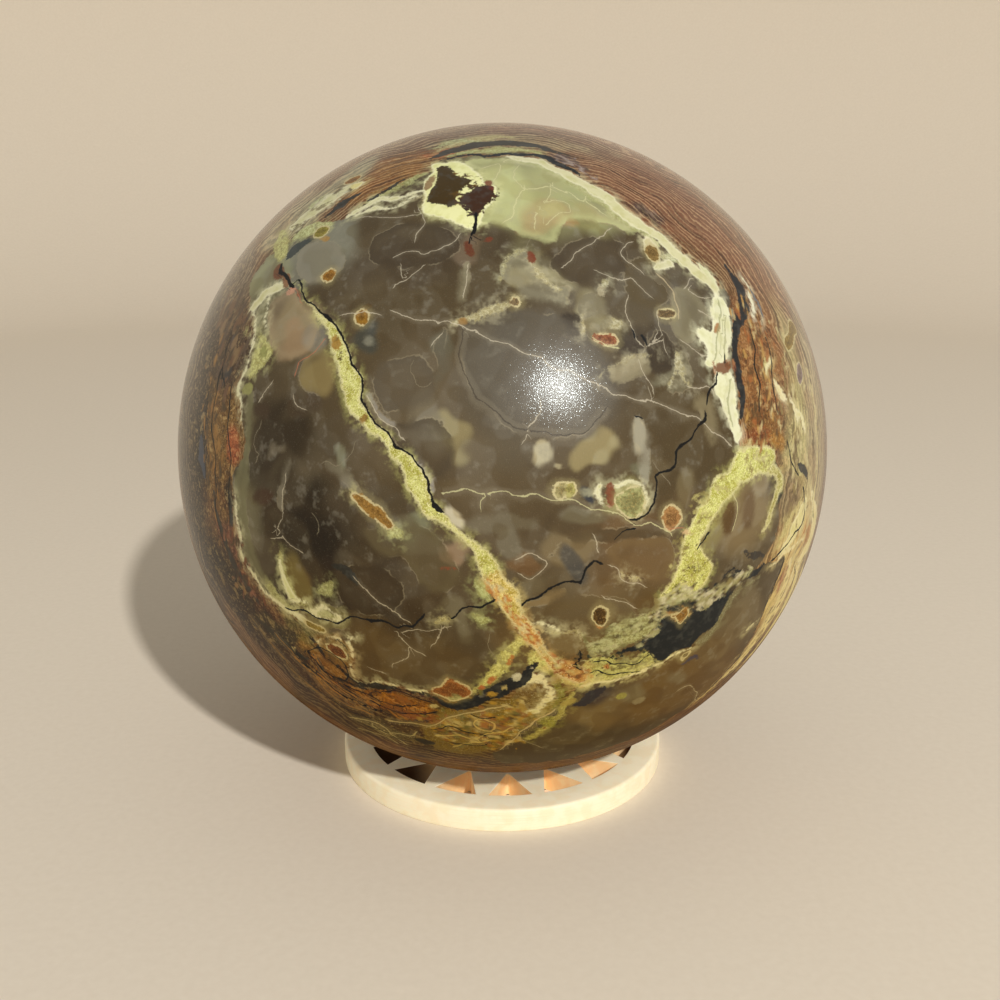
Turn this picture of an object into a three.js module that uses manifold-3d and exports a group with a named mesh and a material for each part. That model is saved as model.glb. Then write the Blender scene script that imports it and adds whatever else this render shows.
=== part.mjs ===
// A polished petrified-wood sphere resting on a pierced ring stand.
// Millimetres, +Z up. The origin is the centre of the stand's underside.

import * as THREE from 'three';
import { mergeVertices } from 'three/addons/utils/BufferGeometryUtils.js';
import Module from 'manifold-3d';

// ---- Driving dimensions -------------------------------------------------

const SPHERE_DIAMETER = 127;
const SPHERE_SEGMENTS = 64;
const SPHERE_RINGS = 40;

const STAND_DIAMETER = 67.6;
const STAND_THICKNESS = 4.7;
const STAND_SEGMENTS = 128;
const TOP_EDGE_ROUND = 0.7;
const FOOT_EDGE_ROUND = 0.3;
const EDGE_STEPS = 3;

// The sphere's lowest point hangs in the stand's centre hole, this far above the table.
const SPHERE_CLEARANCE = 3.1;
// The seat is a land cut to the sphere's own curve, with a thin gap left between the two.
const SEAT_GAP = 0.3;
const SEAT_INNER_RADIUS = 13.2;
const SEAT_STEPS = 3;

const OPENING_COUNT = 16;
const OPENING_OUTER_RADIUS = 28.3;
const OPENING_APEX_RADIUS = 19.4;
const OPENING_WIDTH = 8.6;
const OPENING_CORNER_ROUND = 0.35;
const OPENING_ARC_STEPS = 4;
// One opening sits a little to the right of the front.
const FIRST_OPENING_ANGLE = -Math.PI / 2 + THREE.MathUtils.degToRad(3.2);
// The cutting prisms run this far past both faces of the stand.
const CUT_MARGIN = 2;

const STONE_COLOUR = 0x6e5a3e;
const STONE_ROUGHNESS = 0.12;
const STAND_COLOUR = 0xeadcb4;
const STAND_ROUGHNESS = 0.55;

// ---- Values worked out from them -----------------------------------------

const SPHERE_RADIUS = SPHERE_DIAMETER / 2;
const STAND_RADIUS = STAND_DIAMETER / 2;
const SPHERE_CENTRE_Z = SPHERE_CLEARANCE + SPHERE_RADIUS;
const SEAT_SURFACE_RADIUS = SPHERE_RADIUS + SEAT_GAP;
// Where the seat's curve comes out through the stand's flat top.
const SEAT_TOP_RADIUS = Math.sqrt(
  SEAT_SURFACE_RADIUS ** 2 - (SPHERE_CENTRE_Z - STAND_THICKNESS) ** 2
);

// ---- Helpers --------------------------------------------------------------

const wasm = await Module();
wasm.setup();

/** A closed geometry as a solid, with its shared corners merged. */
function toSolid(geometry) {
  const bare = geometry.clone();
  bare.deleteAttribute('normal');
  bare.deleteAttribute('uv');
  const merged = mergeVertices(bare);
  return new wasm.Manifold(
    new wasm.Mesh({
      numProp: 3,
      vertProperties: new Float32Array(merged.attributes.position.array),
      triVerts: new Uint32Array(merged.index.array),
    })
  );
}

/** A solid's surface as a geometry. */
function toGeometry(solid) {
  const mesh = solid.getMesh();
  const geometry = new THREE.BufferGeometry();
  geometry.setAttribute('position', new THREE.BufferAttribute(mesh.vertProperties, 3));
  geometry.setIndex(new THREE.BufferAttribute(mesh.triVerts, 1));
  geometry.computeVertexNormals();
  return geometry;
}

/** Points along an arc about a centre, from one angle to another, ends included. */
function arcPoints(centreX, centreY, radius, fromAngle, toAngle, steps) {
  const points = [];
  for (let i = 0; i <= steps; i += 1) {
    const angle = fromAngle + ((toAngle - fromAngle) * i) / steps;
    points.push(
      new THREE.Vector2(centreX + radius * Math.cos(angle), centreY + radius * Math.sin(angle))
    );
  }
  return points;
}

// ---- Pieces ----------------------------------------------------------------

/** The polished ball, with its poles at the top and at the foot. */
function sphereMesh() {
  const geometry = new THREE.SphereGeometry(SPHERE_RADIUS, SPHERE_SEGMENTS, SPHERE_RINGS);
  geometry.rotateX(Math.PI / 2);
  const material = new THREE.MeshStandardMaterial({
    color: STONE_COLOUR,
    roughness: STONE_ROUGHNESS,
    metalness: 0,
  });
  const mesh = new THREE.Mesh(geometry, material);
  mesh.name = 'stone_sphere';
  mesh.position.set(0, 0, SPHERE_CENTRE_Z);
  return mesh;
}

/** The seat's profile, rising outwards along the ball's curve from the hole to the top. */
function seatPoints() {
  const points = [];
  for (let i = 0; i <= SEAT_STEPS; i += 1) {
    const radius = SEAT_INNER_RADIUS + ((SEAT_TOP_RADIUS - SEAT_INNER_RADIUS) * i) / SEAT_STEPS;
    const drop = Math.sqrt(SEAT_SURFACE_RADIUS ** 2 - radius ** 2);
    points.push(new THREE.Vector2(radius, SPHERE_CENTRE_Z - drop));
  }
  return points;
}

/** The closed section of the ring: foot, rounded outer edge, flat top, seat and hole wall. */
function standProfile() {
  const foot = arcPoints(
    STAND_RADIUS - FOOT_EDGE_ROUND, FOOT_EDGE_ROUND, FOOT_EDGE_ROUND, -Math.PI / 2, 0, EDGE_STEPS
  );
  const shoulder = arcPoints(
    STAND_RADIUS - TOP_EDGE_ROUND, STAND_THICKNESS - TOP_EDGE_ROUND, TOP_EDGE_ROUND,
    0, Math.PI / 2, EDGE_STEPS
  );
  const start = new THREE.Vector2(SEAT_INNER_RADIUS, 0);
  return [start, ...foot, ...shoulder, ...seatPoints().reverse(), start.clone()];
}

/** The uncut ring, turned from its section about the upright axis. */
function standRing() {
  const geometry = new THREE.LatheGeometry(standProfile(), STAND_SEGMENTS);
  geometry.rotateX(Math.PI / 2);
  return toSolid(geometry);
}

/** A triangle with its base on the outer circle and its blunted apex towards the centre. */
function openingOutline() {
  const halfAngle = Math.asin(OPENING_WIDTH / 2 / OPENING_OUTER_RADIUS);
  const halfApex = Math.atan2(
    OPENING_WIDTH / 2, OPENING_OUTER_RADIUS * Math.cos(halfAngle) - OPENING_APEX_RADIUS
  );
  const apexCentre = OPENING_APEX_RADIUS + OPENING_CORNER_ROUND / Math.sin(halfApex);
  const outline = new THREE.Shape();
  arcPoints(0, 0, OPENING_OUTER_RADIUS, -halfAngle, halfAngle, OPENING_ARC_STEPS)
    .concat(
      arcPoints(
        apexCentre, 0, OPENING_CORNER_ROUND,
        Math.PI / 2 + halfApex, (3 * Math.PI) / 2 - halfApex, EDGE_STEPS
      )
    )
    .forEach((point, index) => {
      if (index === 0) outline.moveTo(point.x, point.y);
      else outline.lineTo(point.x, point.y);
    });
  outline.closePath();
  return outline;
}

/** One cutting prism for each opening, all joined. */
function openingPrisms() {
  const prism = new THREE.ExtrudeGeometry(openingOutline(), {
    depth: STAND_THICKNESS + 2 * CUT_MARGIN,
    bevelEnabled: false,
  });
  prism.translate(0, 0, -CUT_MARGIN);
  const prisms = [];
  for (let i = 0; i < OPENING_COUNT; i += 1) {
    const angle = FIRST_OPENING_ANGLE + (2 * Math.PI * i) / OPENING_COUNT;
    prisms.push(toSolid(prism.clone().rotateZ(angle)));
  }
  return prisms.reduce((joined, next) => joined.add(next));
}

/** The ring stand, pierced by a circle of triangular openings. */
function standMesh() {
  const material = new THREE.MeshStandardMaterial({
    color: STAND_COLOUR,
    roughness: STAND_ROUGHNESS,
    metalness: 0,
  });
  const mesh = new THREE.Mesh(toGeometry(standRing().subtract(openingPrisms())), material);
  mesh.name = 'ring_stand';
  return mesh;
}

// ---- The object --------------------------------------------------------------

const decorativeSphere = new THREE.Group();
decorativeSphere.add(standMesh());
decorativeSphere.add(sphereMesh());

export default decorativeSphere;
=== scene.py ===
# %% [markdown]
# # A polished petrified-wood ball on a pierced ring stand
# The ball is one slice of a log that turned to opal: a grey-brown heart full of milky clouds,
# yellow-green veins and black cracks, inside a rim of wood that still shows its growth lines.
# It rests in a cream ring with triangular openings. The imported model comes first: it fixes
# every size and place, and the pieces made here are fitted to it.

# %% Load the frame
import math
import bmesh
import bpy
import numpy as np
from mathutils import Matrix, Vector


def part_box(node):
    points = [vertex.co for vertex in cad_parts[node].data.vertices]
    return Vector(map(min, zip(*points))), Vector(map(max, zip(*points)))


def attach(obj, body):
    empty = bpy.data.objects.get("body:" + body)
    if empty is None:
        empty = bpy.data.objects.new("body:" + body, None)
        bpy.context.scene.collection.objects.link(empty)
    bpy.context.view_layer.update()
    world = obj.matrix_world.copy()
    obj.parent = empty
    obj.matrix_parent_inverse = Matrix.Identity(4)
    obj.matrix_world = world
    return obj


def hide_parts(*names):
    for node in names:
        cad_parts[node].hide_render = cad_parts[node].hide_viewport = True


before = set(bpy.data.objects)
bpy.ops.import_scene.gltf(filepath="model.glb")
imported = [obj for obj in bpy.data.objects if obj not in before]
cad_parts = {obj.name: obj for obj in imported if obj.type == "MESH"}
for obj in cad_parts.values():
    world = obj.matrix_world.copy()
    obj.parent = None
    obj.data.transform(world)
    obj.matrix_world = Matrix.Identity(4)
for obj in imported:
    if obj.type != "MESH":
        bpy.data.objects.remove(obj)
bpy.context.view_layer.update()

MM = 1000.0
ball_low, ball_high = (np.array(corner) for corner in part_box("stone_sphere"))
BALL_CENTRE = (ball_low + ball_high) / 2
BALL_RADIUS = MM * (ball_high[0] - ball_low[0]) / 2
print("ball radius", round(BALL_RADIUS, 2), "mm, centre", BALL_CENTRE.round(4))

# %% [markdown]
# ## The show face
# Each vein and patch has its own place on the ball, so the ball needs a map. The middle of
# the map is the show face, which leans back 14.5 degrees. A place on it is (a, b): the
# millimetres to the right and upwards along the surface. Distances near the middle are true,
# which a map made of latitudes would not give.

# %% Directions of the show face
LEAN = math.radians(14.5)
RIGHT = np.array([1.0, 0.0, 0.0])
UPWARD = np.array([0.0, math.sin(LEAN), math.cos(LEAN)])
OUTWARD = np.array([0.0, -math.cos(LEAN), math.sin(LEAN)])
print("the show face looks along", OUTWARD.round(3))

# %% [markdown]
# ## The camera
# The viewer looks down on the ball from the front, close enough for some perspective. The
# camera is set from the ball's own centre, so it follows the model and not the other way.

# %% Camera
VIEW_DISTANCE = 0.25276
VIEW_SIDE_STEP = -0.00046
LOOKING_DOWN = 16.751
camera_data = bpy.data.cameras.new("viewer")
camera_data.lens = 45
camera_data.sensor_width = 36
camera_data.clip_start = 0.01
camera = bpy.data.objects.new("viewer", camera_data)
camera.location = BALL_CENTRE + OUTWARD * VIEW_DISTANCE + RIGHT * VIEW_SIDE_STEP
camera.rotation_euler = (math.radians(90 - LOOKING_DOWN), 0, 0)
bpy.context.collection.objects.link(camera)
bpy.context.scene.camera = camera
print("camera at", [round(x, 4) for x in camera.location])

# %% [markdown]
# ## The ball's surface
# A sphere is turned on its map: one parameter is the distance from the middle of the show
# face, the other the bearing round it. The rings stand close together in front, where the
# finest lines are, and further apart behind. A plain sphere has no say in where its points
# go. This mesh is dense because the points carry the pattern.

# %% A mesh from rows of points
def ring_faces(rings, around):
    """Quads between neighbouring rings: point j of ring i joins point j + 1 and ring i + 1."""
    i, j = np.meshgrid(np.arange(rings - 1), np.arange(around), indexing="ij")
    k = (j + 1) % around
    quads = np.stack([i * around + j, (i + 1) * around + j, (i + 1) * around + k, i * around + k], -1)
    return quads.reshape(-1, 4)


def make_mesh(name, points, faces, smooth=True):
    """A mesh object at the origin from points in metres and a list of corner lists."""
    mesh = bpy.data.meshes.new(name)
    mesh.from_pydata(points, [], faces)
    mesh.polygons.foreach_set("use_smooth", np.full(len(mesh.polygons), smooth))
    mesh.update()
    made = bpy.data.objects.new(name, mesh)
    bpy.context.collection.objects.link(made)
    print(name, "has", len(mesh.vertices), "points and", len(mesh.polygons), "faces")
    return made


print("rows of points can be made into faces")

# %% The ball
AROUND = 416
FRONT_EDGE = 72
SIDE_EDGE = 84
BACK_RINGS = 67
HALF_TURN = math.pi * BALL_RADIUS
ring_distance = np.concatenate([
    np.arange(0.4, FRONT_EDGE, 0.5),
    np.arange(FRONT_EDGE, SIDE_EDGE, 0.75),
    np.linspace(SIDE_EDGE, HALF_TURN, BACK_RINGS + 1)[:-1],
])


def ball_points(distance, bearing):
    """Unit directions: cosine of the angle outward, its sine along the bearing."""
    angle = distance / BALL_RADIUS
    flat = np.cos(bearing)[..., None] * RIGHT + np.sin(bearing)[..., None] * UPWARD
    return np.sin(angle)[..., None] * flat + np.cos(angle)[..., None] * OUTWARD


bearings = np.arange(AROUND) * 2 * math.pi / AROUND
rings = ball_points(ring_distance[:, None], bearings[None, :]).reshape(-1, 3)
directions = np.vstack([rings, OUTWARD, -OUTWARD])
last = (len(ring_distance) - 1) * AROUND
turn = np.arange(AROUND)
front_cap = np.stack([np.full(AROUND, len(rings)), turn, (turn + 1) % AROUND], -1)
back_cap = np.stack([np.full(AROUND, len(rings) + 1), last + (turn + 1) % AROUND, last + turn], -1)
faces = ring_faces(len(ring_distance), AROUND).tolist() + front_cap.tolist() + back_cap.tolist()
ball = make_mesh("stone_ball", BALL_CENTRE + directions * BALL_RADIUS / MM, faces)
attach(ball, "root")
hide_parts("stone_sphere")

# %% [markdown]
# ## Map places of the points
# Every point gets its (a, b). The back of a log slice is much like its front, so the back half
# is given the same map, mirrored and turned, and the pattern goes through the ball as it does
# in a real slice. A slow wobble of a few tenths of a millimetre keeps outlines from looking ruled.

# %% Chart
BACK_TURN = math.radians(128)
WAVES = 20


def swell(points, size, seed):
    """A smooth random height: sine waves of one length in random directions, added up."""
    random = np.random.default_rng(seed)
    waves = random.normal(size=(WAVES, 3))
    waves *= 2 * math.pi / size / np.linalg.norm(waves, axis=1, keepdims=True)
    phase = random.uniform(0, 2 * math.pi, WAVES)
    return np.sin(points @ waves.T + phase).sum(1) / math.sqrt(WAVES / 2)


surface = directions * BALL_RADIUS
outness = directions @ OUTWARD
bearing = np.arctan2(directions @ UPWARD, directions @ RIGHT)
angle = np.arccos(np.clip(outness, -1, 1))
behind = outness < 0
distance = np.where(behind, math.pi - angle, angle) * BALL_RADIUS
bearing = np.where(behind, BACK_TURN - bearing, bearing)
chart = np.stack([distance * np.cos(bearing), distance * np.sin(bearing)], 1)
chart += 0.2 * np.stack([swell(surface, 4.5, 11), swell(surface, 4.5, 12)], 1)
chart += 0.06 * np.stack([swell(surface, 1.9, 13), swell(surface, 1.9, 14)], 1)
print("the map reaches", round(distance.max(), 1), "mm from the middle")

# %% [markdown]
# ## Distances to drawn lines
# Veins, cracks and patches are drawn as smooth curves on the map. A painted texture would
# blur when seen closely. Here each point of the ball keeps its distance to the nearest
# outline, and the material finds the edge between the points, so it stays sharp. A curve is
# written as places in millimetres, and a third number is the half-width of the line there.

# %% Drawing tools
PAIRS_AT_ONCE = 400000


def trace(text):
    """Points written as (a,b)(a,b), or (a,b,half) where a line changes its width."""
    return np.array([pair.split(",") for pair in text.strip("()").split(")(")], float)


def flow(points, closed=False, step=0.7):
    """A smooth curve: a cubic between two points, sloping at each as its neighbours lie."""
    if closed:
        points = np.vstack([points[-1:], points, points[:2]])
    else:
        points = np.vstack([2 * points[0] - points[1], points, 2 * points[-1] - points[-2]])
    parts = []
    for p, q, r, s in zip(points[:-3], points[1:-2], points[2:-1], points[3:]):
        count = max(1, int(np.hypot(*(r - q)[:2]) / step))
        t = (np.arange(count) / count)[:, None]
        slope_q = (r - p) / 2
        slope_r = (s - q) / 2
        cubic = q * (2 * t**3 - 3 * t**2 + 1) + slope_q * (t**3 - 2 * t**2 + t)
        parts.append(cubic + r * (3 * t**2 - 2 * t**3) + slope_r * (t**3 - t**2))
    return np.vstack(parts + [points[-2:-1]])


def measure(curve, reach):
    """Which points lie near a curve, how far to its left, how far past its ends, and the
    curve's half-width there. Each stretch is a straight line, and the nearest one counts."""
    low = curve[:, :2].min(0) - reach
    high = curve[:, :2].max(0) + reach
    near = np.flatnonzero(((chart > low) & (chart < high)).all(1))
    starts = curve[:-1, :2]
    steps = np.diff(curve[:, :2], axis=0)
    lengths = np.maximum(np.hypot(*steps.T), 1e-6)
    left, past, half = [], [], []
    for part in np.array_split(near, len(near) * len(steps) // PAIRS_AT_ONCE + 1):
        gap = chart[part][:, None, :] - starts
        along = (gap * steps).sum(2) / lengths**2
        held = np.clip(along, 0, 1)
        away = np.linalg.norm(gap - held[..., None] * steps, axis=2)
        nearest = away.argmin(1)
        row = np.arange(len(part))
        off, step, length = gap[row, nearest], steps[nearest], lengths[nearest]
        across = (step[:, 0] * off[:, 1] - step[:, 1] * off[:, 0]) / length
        before = (nearest == 0) & (along[row, nearest] < 0)
        after = (nearest == len(steps) - 1) & (along[row, nearest] > 1)
        ended = before | after
        left.append(np.where(ended, across, np.sign(across + 1e-9) * away[row, nearest]))
        overrun = np.abs(along[row, nearest] - held[row, nearest]) * length
        past.append(np.where(ended, overrun, 0))
        share = held[row, nearest]
        width = curve[:, 2] if curve.shape[1] > 2 else np.zeros(len(curve))
        half.append(width[nearest] * (1 - share) + width[nearest + 1] * share)
    return near, np.concatenate(left), np.concatenate(past), np.concatenate(half)


def enclosed(curve, picked):
    """Whether each point is inside a closed curve: a ray from it crosses an odd number of sides."""
    odd = np.zeros(len(picked), bool)
    x, y = chart[picked].T
    for (x0, y0), (x1, y1) in zip(curve[:-1, :2], curve[1:, :2]):
        if y0 != y1:
            crossed = ((y0 > y) != (y1 > y)) & (x < x0 + (y - y0) * (x1 - x0) / (y1 - y0))
            odd ^= crossed
    return odd


def stone_colour(red, green, blue):
    """A colour named by its 0 to 255 values, as light: the curve of the display undone."""
    share = np.array([red, green, blue]) / 255
    return np.where(share <= 0.04045, share / 12.92, ((share + 0.055) / 1.055) ** 2.4)


def ellipse(points, a, b, long, wide, slant):
    """How far points lie along an ellipse's two axes, as shares of its half-widths."""
    x, y = (points - [a, b]).T
    tilt = math.radians(slant)
    main = (x * math.cos(tilt) + y * math.sin(tilt)) / long
    side = (y * math.cos(tilt) - x * math.sin(tilt)) / wide
    return main, side


print("drawing tools ready")

# %% [markdown]
# Two kinds of drawing are kept apart. A layer holds patches with an inside, such as a vein.
# Lines holds strokes finer than the mesh: a signed distance passes through zero on the line,
# so even a line a fifth of a millimetre wide keeps its course between the points.

# %% Layers of patches
class Layer:
    """Patches of one kind: for each point, the depth inside the nearest one and its colour."""

    def __init__(self, name, reach=3.0):
        self.name = name
        self.reach = reach
        self.depth = np.full(len(chart), -reach)
        self.colour = np.tile(stone_colour(150, 130, 90), (len(chart), 1))

    def settle(self, picked, depth, colour):
        """Keeps the new patch where it goes deeper than the ones before it."""
        depth = np.clip(depth, -self.reach, self.reach)
        deeper = depth > self.depth[picked]
        self.depth[picked[deeper]] = depth[deeper]
        self.colour[picked[deeper]] = stone_colour(*colour)

    def patch(self, text, colour):
        """A region inside a closed smooth outline."""
        curve = flow(trace(text), closed=True)
        picked, left = measure(curve, self.reach)[:2]
        depth = np.where(enclosed(curve, picked), np.abs(left), -np.abs(left))
        self.settle(picked, depth, colour)

    def stroke(self, text, colour, half=None):
        """A band along a smooth line: its half-width less the distance from the line."""
        points = trace(text)
        if half is not None:
            points = np.column_stack([points[:, :2], np.full(len(points), half)])
        picked, left, past, width = measure(flow(points), self.reach)
        self.settle(picked, width - np.hypot(left, past), colour)

    def lens(self, a, b, long, wide, slant, colour):
        """An ellipse: the depth is its level divided by the level's slope."""
        picked = np.flatnonzero(np.hypot(chart[:, 0] - a, chart[:, 1] - b) < long + wide + self.reach)
        main, side = ellipse(chart[picked], a, b, long, wide, slant)
        level = np.hypot(main, side)
        slope = np.maximum(np.hypot(main / long, side / wide), 1e-6)
        self.settle(picked, level * (1 - level) / slope, colour)


class Lines:
    """Fine strokes: for each point, the distance to the side of the nearest line, the
    half-width there, which is below zero away from all lines, and the colour."""

    ROOM = 1.15

    def __init__(self, name):
        self.name = name
        self.side = np.full(len(chart), 3.0)
        self.half = np.full(len(chart), -1.0)
        self.room = np.full(len(chart), self.ROOM)
        self.colour = np.tile(stone_colour(200, 190, 160), (len(chart), 1))

    def draw(self, text, half, colour=(205, 195, 165)):
        """A stroke that thins out over its last millimetres."""
        curve = flow(trace(text))
        picked, left, past, width = measure(curve, 2.5)
        near = np.hypot(left, past)
        closer = near < self.room[picked]
        spot = picked[closer]
        self.room[spot] = near[closer]
        self.side[spot] = left[closer]
        self.half[spot] = half * (1 + width[closer]) - past[closer]
        self.colour[spot] = stone_colour(*colour)


print("patches and lines can be drawn")

# %% [markdown]
# ## Where the heart of the log ends
# The heart is clear grey-brown opal, and the wood keeps its growth lines outside it. The
# border is one closed outline, and the clear field under the black patch is a second one.

# %% Heart outline
heart = Layer("heart", reach=5.0)
heart.patch(
    "(-46.6,39)(-49.8,37)(-51,33.6)(-49,29.6)(-48.3,26.5)(-46,24)(-46,18)(-47,15.5)(-48.5,12)(-48,9)"
    "(-47.5,6)(-47,3)(-46.5,1.5)(-47,-1)(-49,-3)(-50,-6)(-50,-9)(-49.8,-12)(-49.3,-16)(-50,-19)"
    "(-48.5,-22)(-47,-23.5)(-45,-26.5)(-44,-27.5)(-42.5,-28)(-40,-28.8)(-36,-31)(-33,-34)(-30,-33)"
    "(-27,-35)(-26.5,-38)(-27.5,-41)(-25.5,-43)(-23,-42)(-20,-42.3)(-17,-42.7)(-14,-43)(-12.7,-43.5)"
    "(-9,-44)(-6,-44)(-4,-43)(-2,-42)(0,-41)(2,-40)(3.5,-38)(9,-40)(12,-41)(15,-42)(19,-41.5)(22,-41)"
    "(28,-38)(36,-35)(41,-29)(46,-24)(50,-20.5)(53,-15)(52.5,-8)(51.5,-3)(45,0.5)(41,0.8)(41.2,4)(41,8)"
    "(40.8,12)(40.5,16)(41,20)(42,25)(42,29)(39.5,30)(35,32)(33,34)(30,36.5)(28,39)(25,40.5)(22,42.5)"
    "(20,45)(18,47.5)(15,49.5)(13,51)(10,53)(7,55.5)(4,56.5)(-2,57)(-8,57)(-12,56.5)(-15,52.5)(-18,50.5)"
    "(-24,47)(-28,44)(-33,43.5)(-40,42)",
    (88, 78, 62),
)
heart.patch(
    "(12,-44)(14,-42)(22,-41)(28,-38)(36,-35)(41,-29)(46,-24)(50,-22)(54,-22)(57.5,-21.5)(57,-25.5)"
    "(55.5,-29.8)(54.5,-36)(54,-41)(50,-48)(44,-56)(36,-62)(30,-65)(15,-69)(1,-69)(-2,-64)(-0.5,-61)"
    "(4.5,-53)(7.8,-49.2)(9.5,-47.8)",
    (95, 85, 65),
)
print("points inside the heart:", int((heart.depth > 0).sum()))

# %% [markdown]
# ## Colour of the ground
# Heart and wood each have a ground colour over the whole ball, so that the material can cut
# between them cleanly. Both are built up like washes of paint: broad soft ellipses, each one
# laid over the last and made uneven by slow waves. The clouds in the opal are smaller washes.

# %% Washes
def wash(paint, rows, unevenness=0.22, edge=0.45):
    """Lays each row's colour inside its ellipse, full in the middle and gone past the rim."""
    for seed, (a, b, long, wide, slant, colour, strength) in enumerate(rows):
        picked = np.flatnonzero(np.hypot(chart[:, 0] - a, chart[:, 1] - b) < 1.6 * (long + wide))
        level = np.hypot(*ellipse(chart[picked], a, b, long, wide, slant))
        level += unevenness * swell(surface[picked], 1.3 * wide + 1.5, 100 + seed)
        share = np.clip((1 + edge - level) / (2 * edge), 0, 1)
        share = (strength * share**2 * (3 - 2 * share))[:, None]
        paint[picked] += share * (stone_colour(*colour) - paint[picked])


print("a wash can be laid")

# %% Washes of the wood
wood_paint = np.tile(stone_colour(116, 84, 54), (len(chart), 1))
wash(wood_paint, [
    (38, 52, 40, 17, -42, (134, 92, 65), 1.0),
    (5, 66, 22, 6, -5, (118, 92, 70), 0.9),
    (-24, 54, 11, 6, 28, (146, 102, 48), 1.0),
    (-40, 52, 14, 7, 40, (165, 160, 128), 0.9),
    (-58, 36, 8, 14, 20, (110, 102, 88), 0.8),
    (-55, 4, 8, 20, 0, (118, 86, 38), 1.0),
    (-53, 22, 8, 9, 20, (66, 50, 40), 0.95),
    (-61.4, 2, 2.6, 8.5, 0, (40, 42, 54), 0.95),
    (-69, -2, 8, 44, 0, (34, 33, 34), 0.9),
    (-52, -18, 6, 5, 0, (98, 62, 42), 0.9),
    (-54, -30, 9, 15, 25, (30, 18, 5), 1.0),
    (-44, -42, 14, 8, -40, (58, 37, 9), 0.95),
    (-46, -33, 2, 6, 30, (84, 44, 26), 0.8),
    (-26, -49, 17, 7, -14, (72, 42, 8), 1.0),
    (-3, -52, 15, 9, 4, (108, 86, 18), 1.0),
    (-20, -60, 26, 7, -10, (74, 56, 24), 0.9),
    (8, -50, 5, 6, 60, (158, 146, 70), 0.8),
    (48, 12, 7, 17, 6, (142, 96, 52), 1.0),
    (47, 4, 6, 4, 0, (128, 86, 36), 0.9),
    (60, 4, 6, 24, 4, (186, 178, 122), 0.95),
    (68, 0, 6, 36, 0, (172, 160, 124), 0.85),
    (60, -26, 8, 17, -22, (216, 196, 132), 0.95),
    (5, 64, 14, 3, -3, (150, 132, 100), 0.9),
    (-34, -36, 6, 4, 10, (120, 108, 50), 0.9),
    (-31, -37, 4.5, 3.2, -20, (126, 88, 24), 0.9),
    (-19, -47.5, 7.4, 2.7, -6, (170, 112, 22), 1.0),
    (-17.6, -50.4, 5.4, 1.3, -8, (110, 56, 20), 0.95),
    (-28.4, -45.6, 5, 2.0, -30, (140, 92, 26), 0.95),
    (-33.4, -40.4, 4.6, 3, -38, (142, 98, 34), 0.95),
    (-32, -38.6, 2.4, 1.4, -30, (104, 60, 28), 0.9),
    (-35, -43.5, 5, 2, -34, (92, 60, 22), 0.9),
    (-49.5, 1, 1.8, 4, 4, (176, 90, 52), 0.8),
    (-53, -16.6, 3.2, 3.4, 20, (128, 84, 66), 0.9),
    (-51, -10.4, 1.6, 3.6, 8, (30, 24, 22), 0.95),
    (-54.6, -9, 2, 5, 0, (112, 80, 42), 0.9),
    (-51, -25, 1.6, 2.4, 0, (120, 54, 34), 0.8),
    (-12, 59.8, 3.6, 1.4, 14, (172, 84, 44), 0.9),
    (-17, 60.6, 3, 1.2, 20, (140, 92, 50), 0.8),
    (45.5, 2.4, 3.6, 2, 0, (138, 70, 28), 0.9),
    (51.6, 1.6, 2.6, 1.5, -20, (160, 112, 40), 0.8),
    (56, -9, 4, 5, 0, (128, 112, 84), 0.9),
    (67.5, -18.5, 4.4, 1.8, -12, (190, 140, 62), 0.9),
    (59.6, -27, 1.2, 3.6, -8, (150, 84, 60), 0.85),
    (-44, -35.5, 5, 3, -35, (56, 52, 34), 0.9),
    (-35, -32.6, 6, 2, -12, (108, 110, 68), 0.8),
    (-15.5, -50.8, 3.4, 1.2, 8, (128, 62, 28), 0.9),
    (-33, -48, 7, 2.2, -34, (122, 82, 24), 0.8),
    (-24, -58.6, 7, 3.4, -20, (98, 90, 60), 0.9),
    (27, 44.4, 3.4, 1.6, -36, (70, 58, 58), 0.8),
    (52.5, -22, 4, 2, 30, (150, 112, 60), 0.8),
    (12, 57.4, 4, 1.8, -24, (86, 70, 76), 0.8),
], edge=0.35)
print("wood washed for", len(chart), "points")

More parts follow.
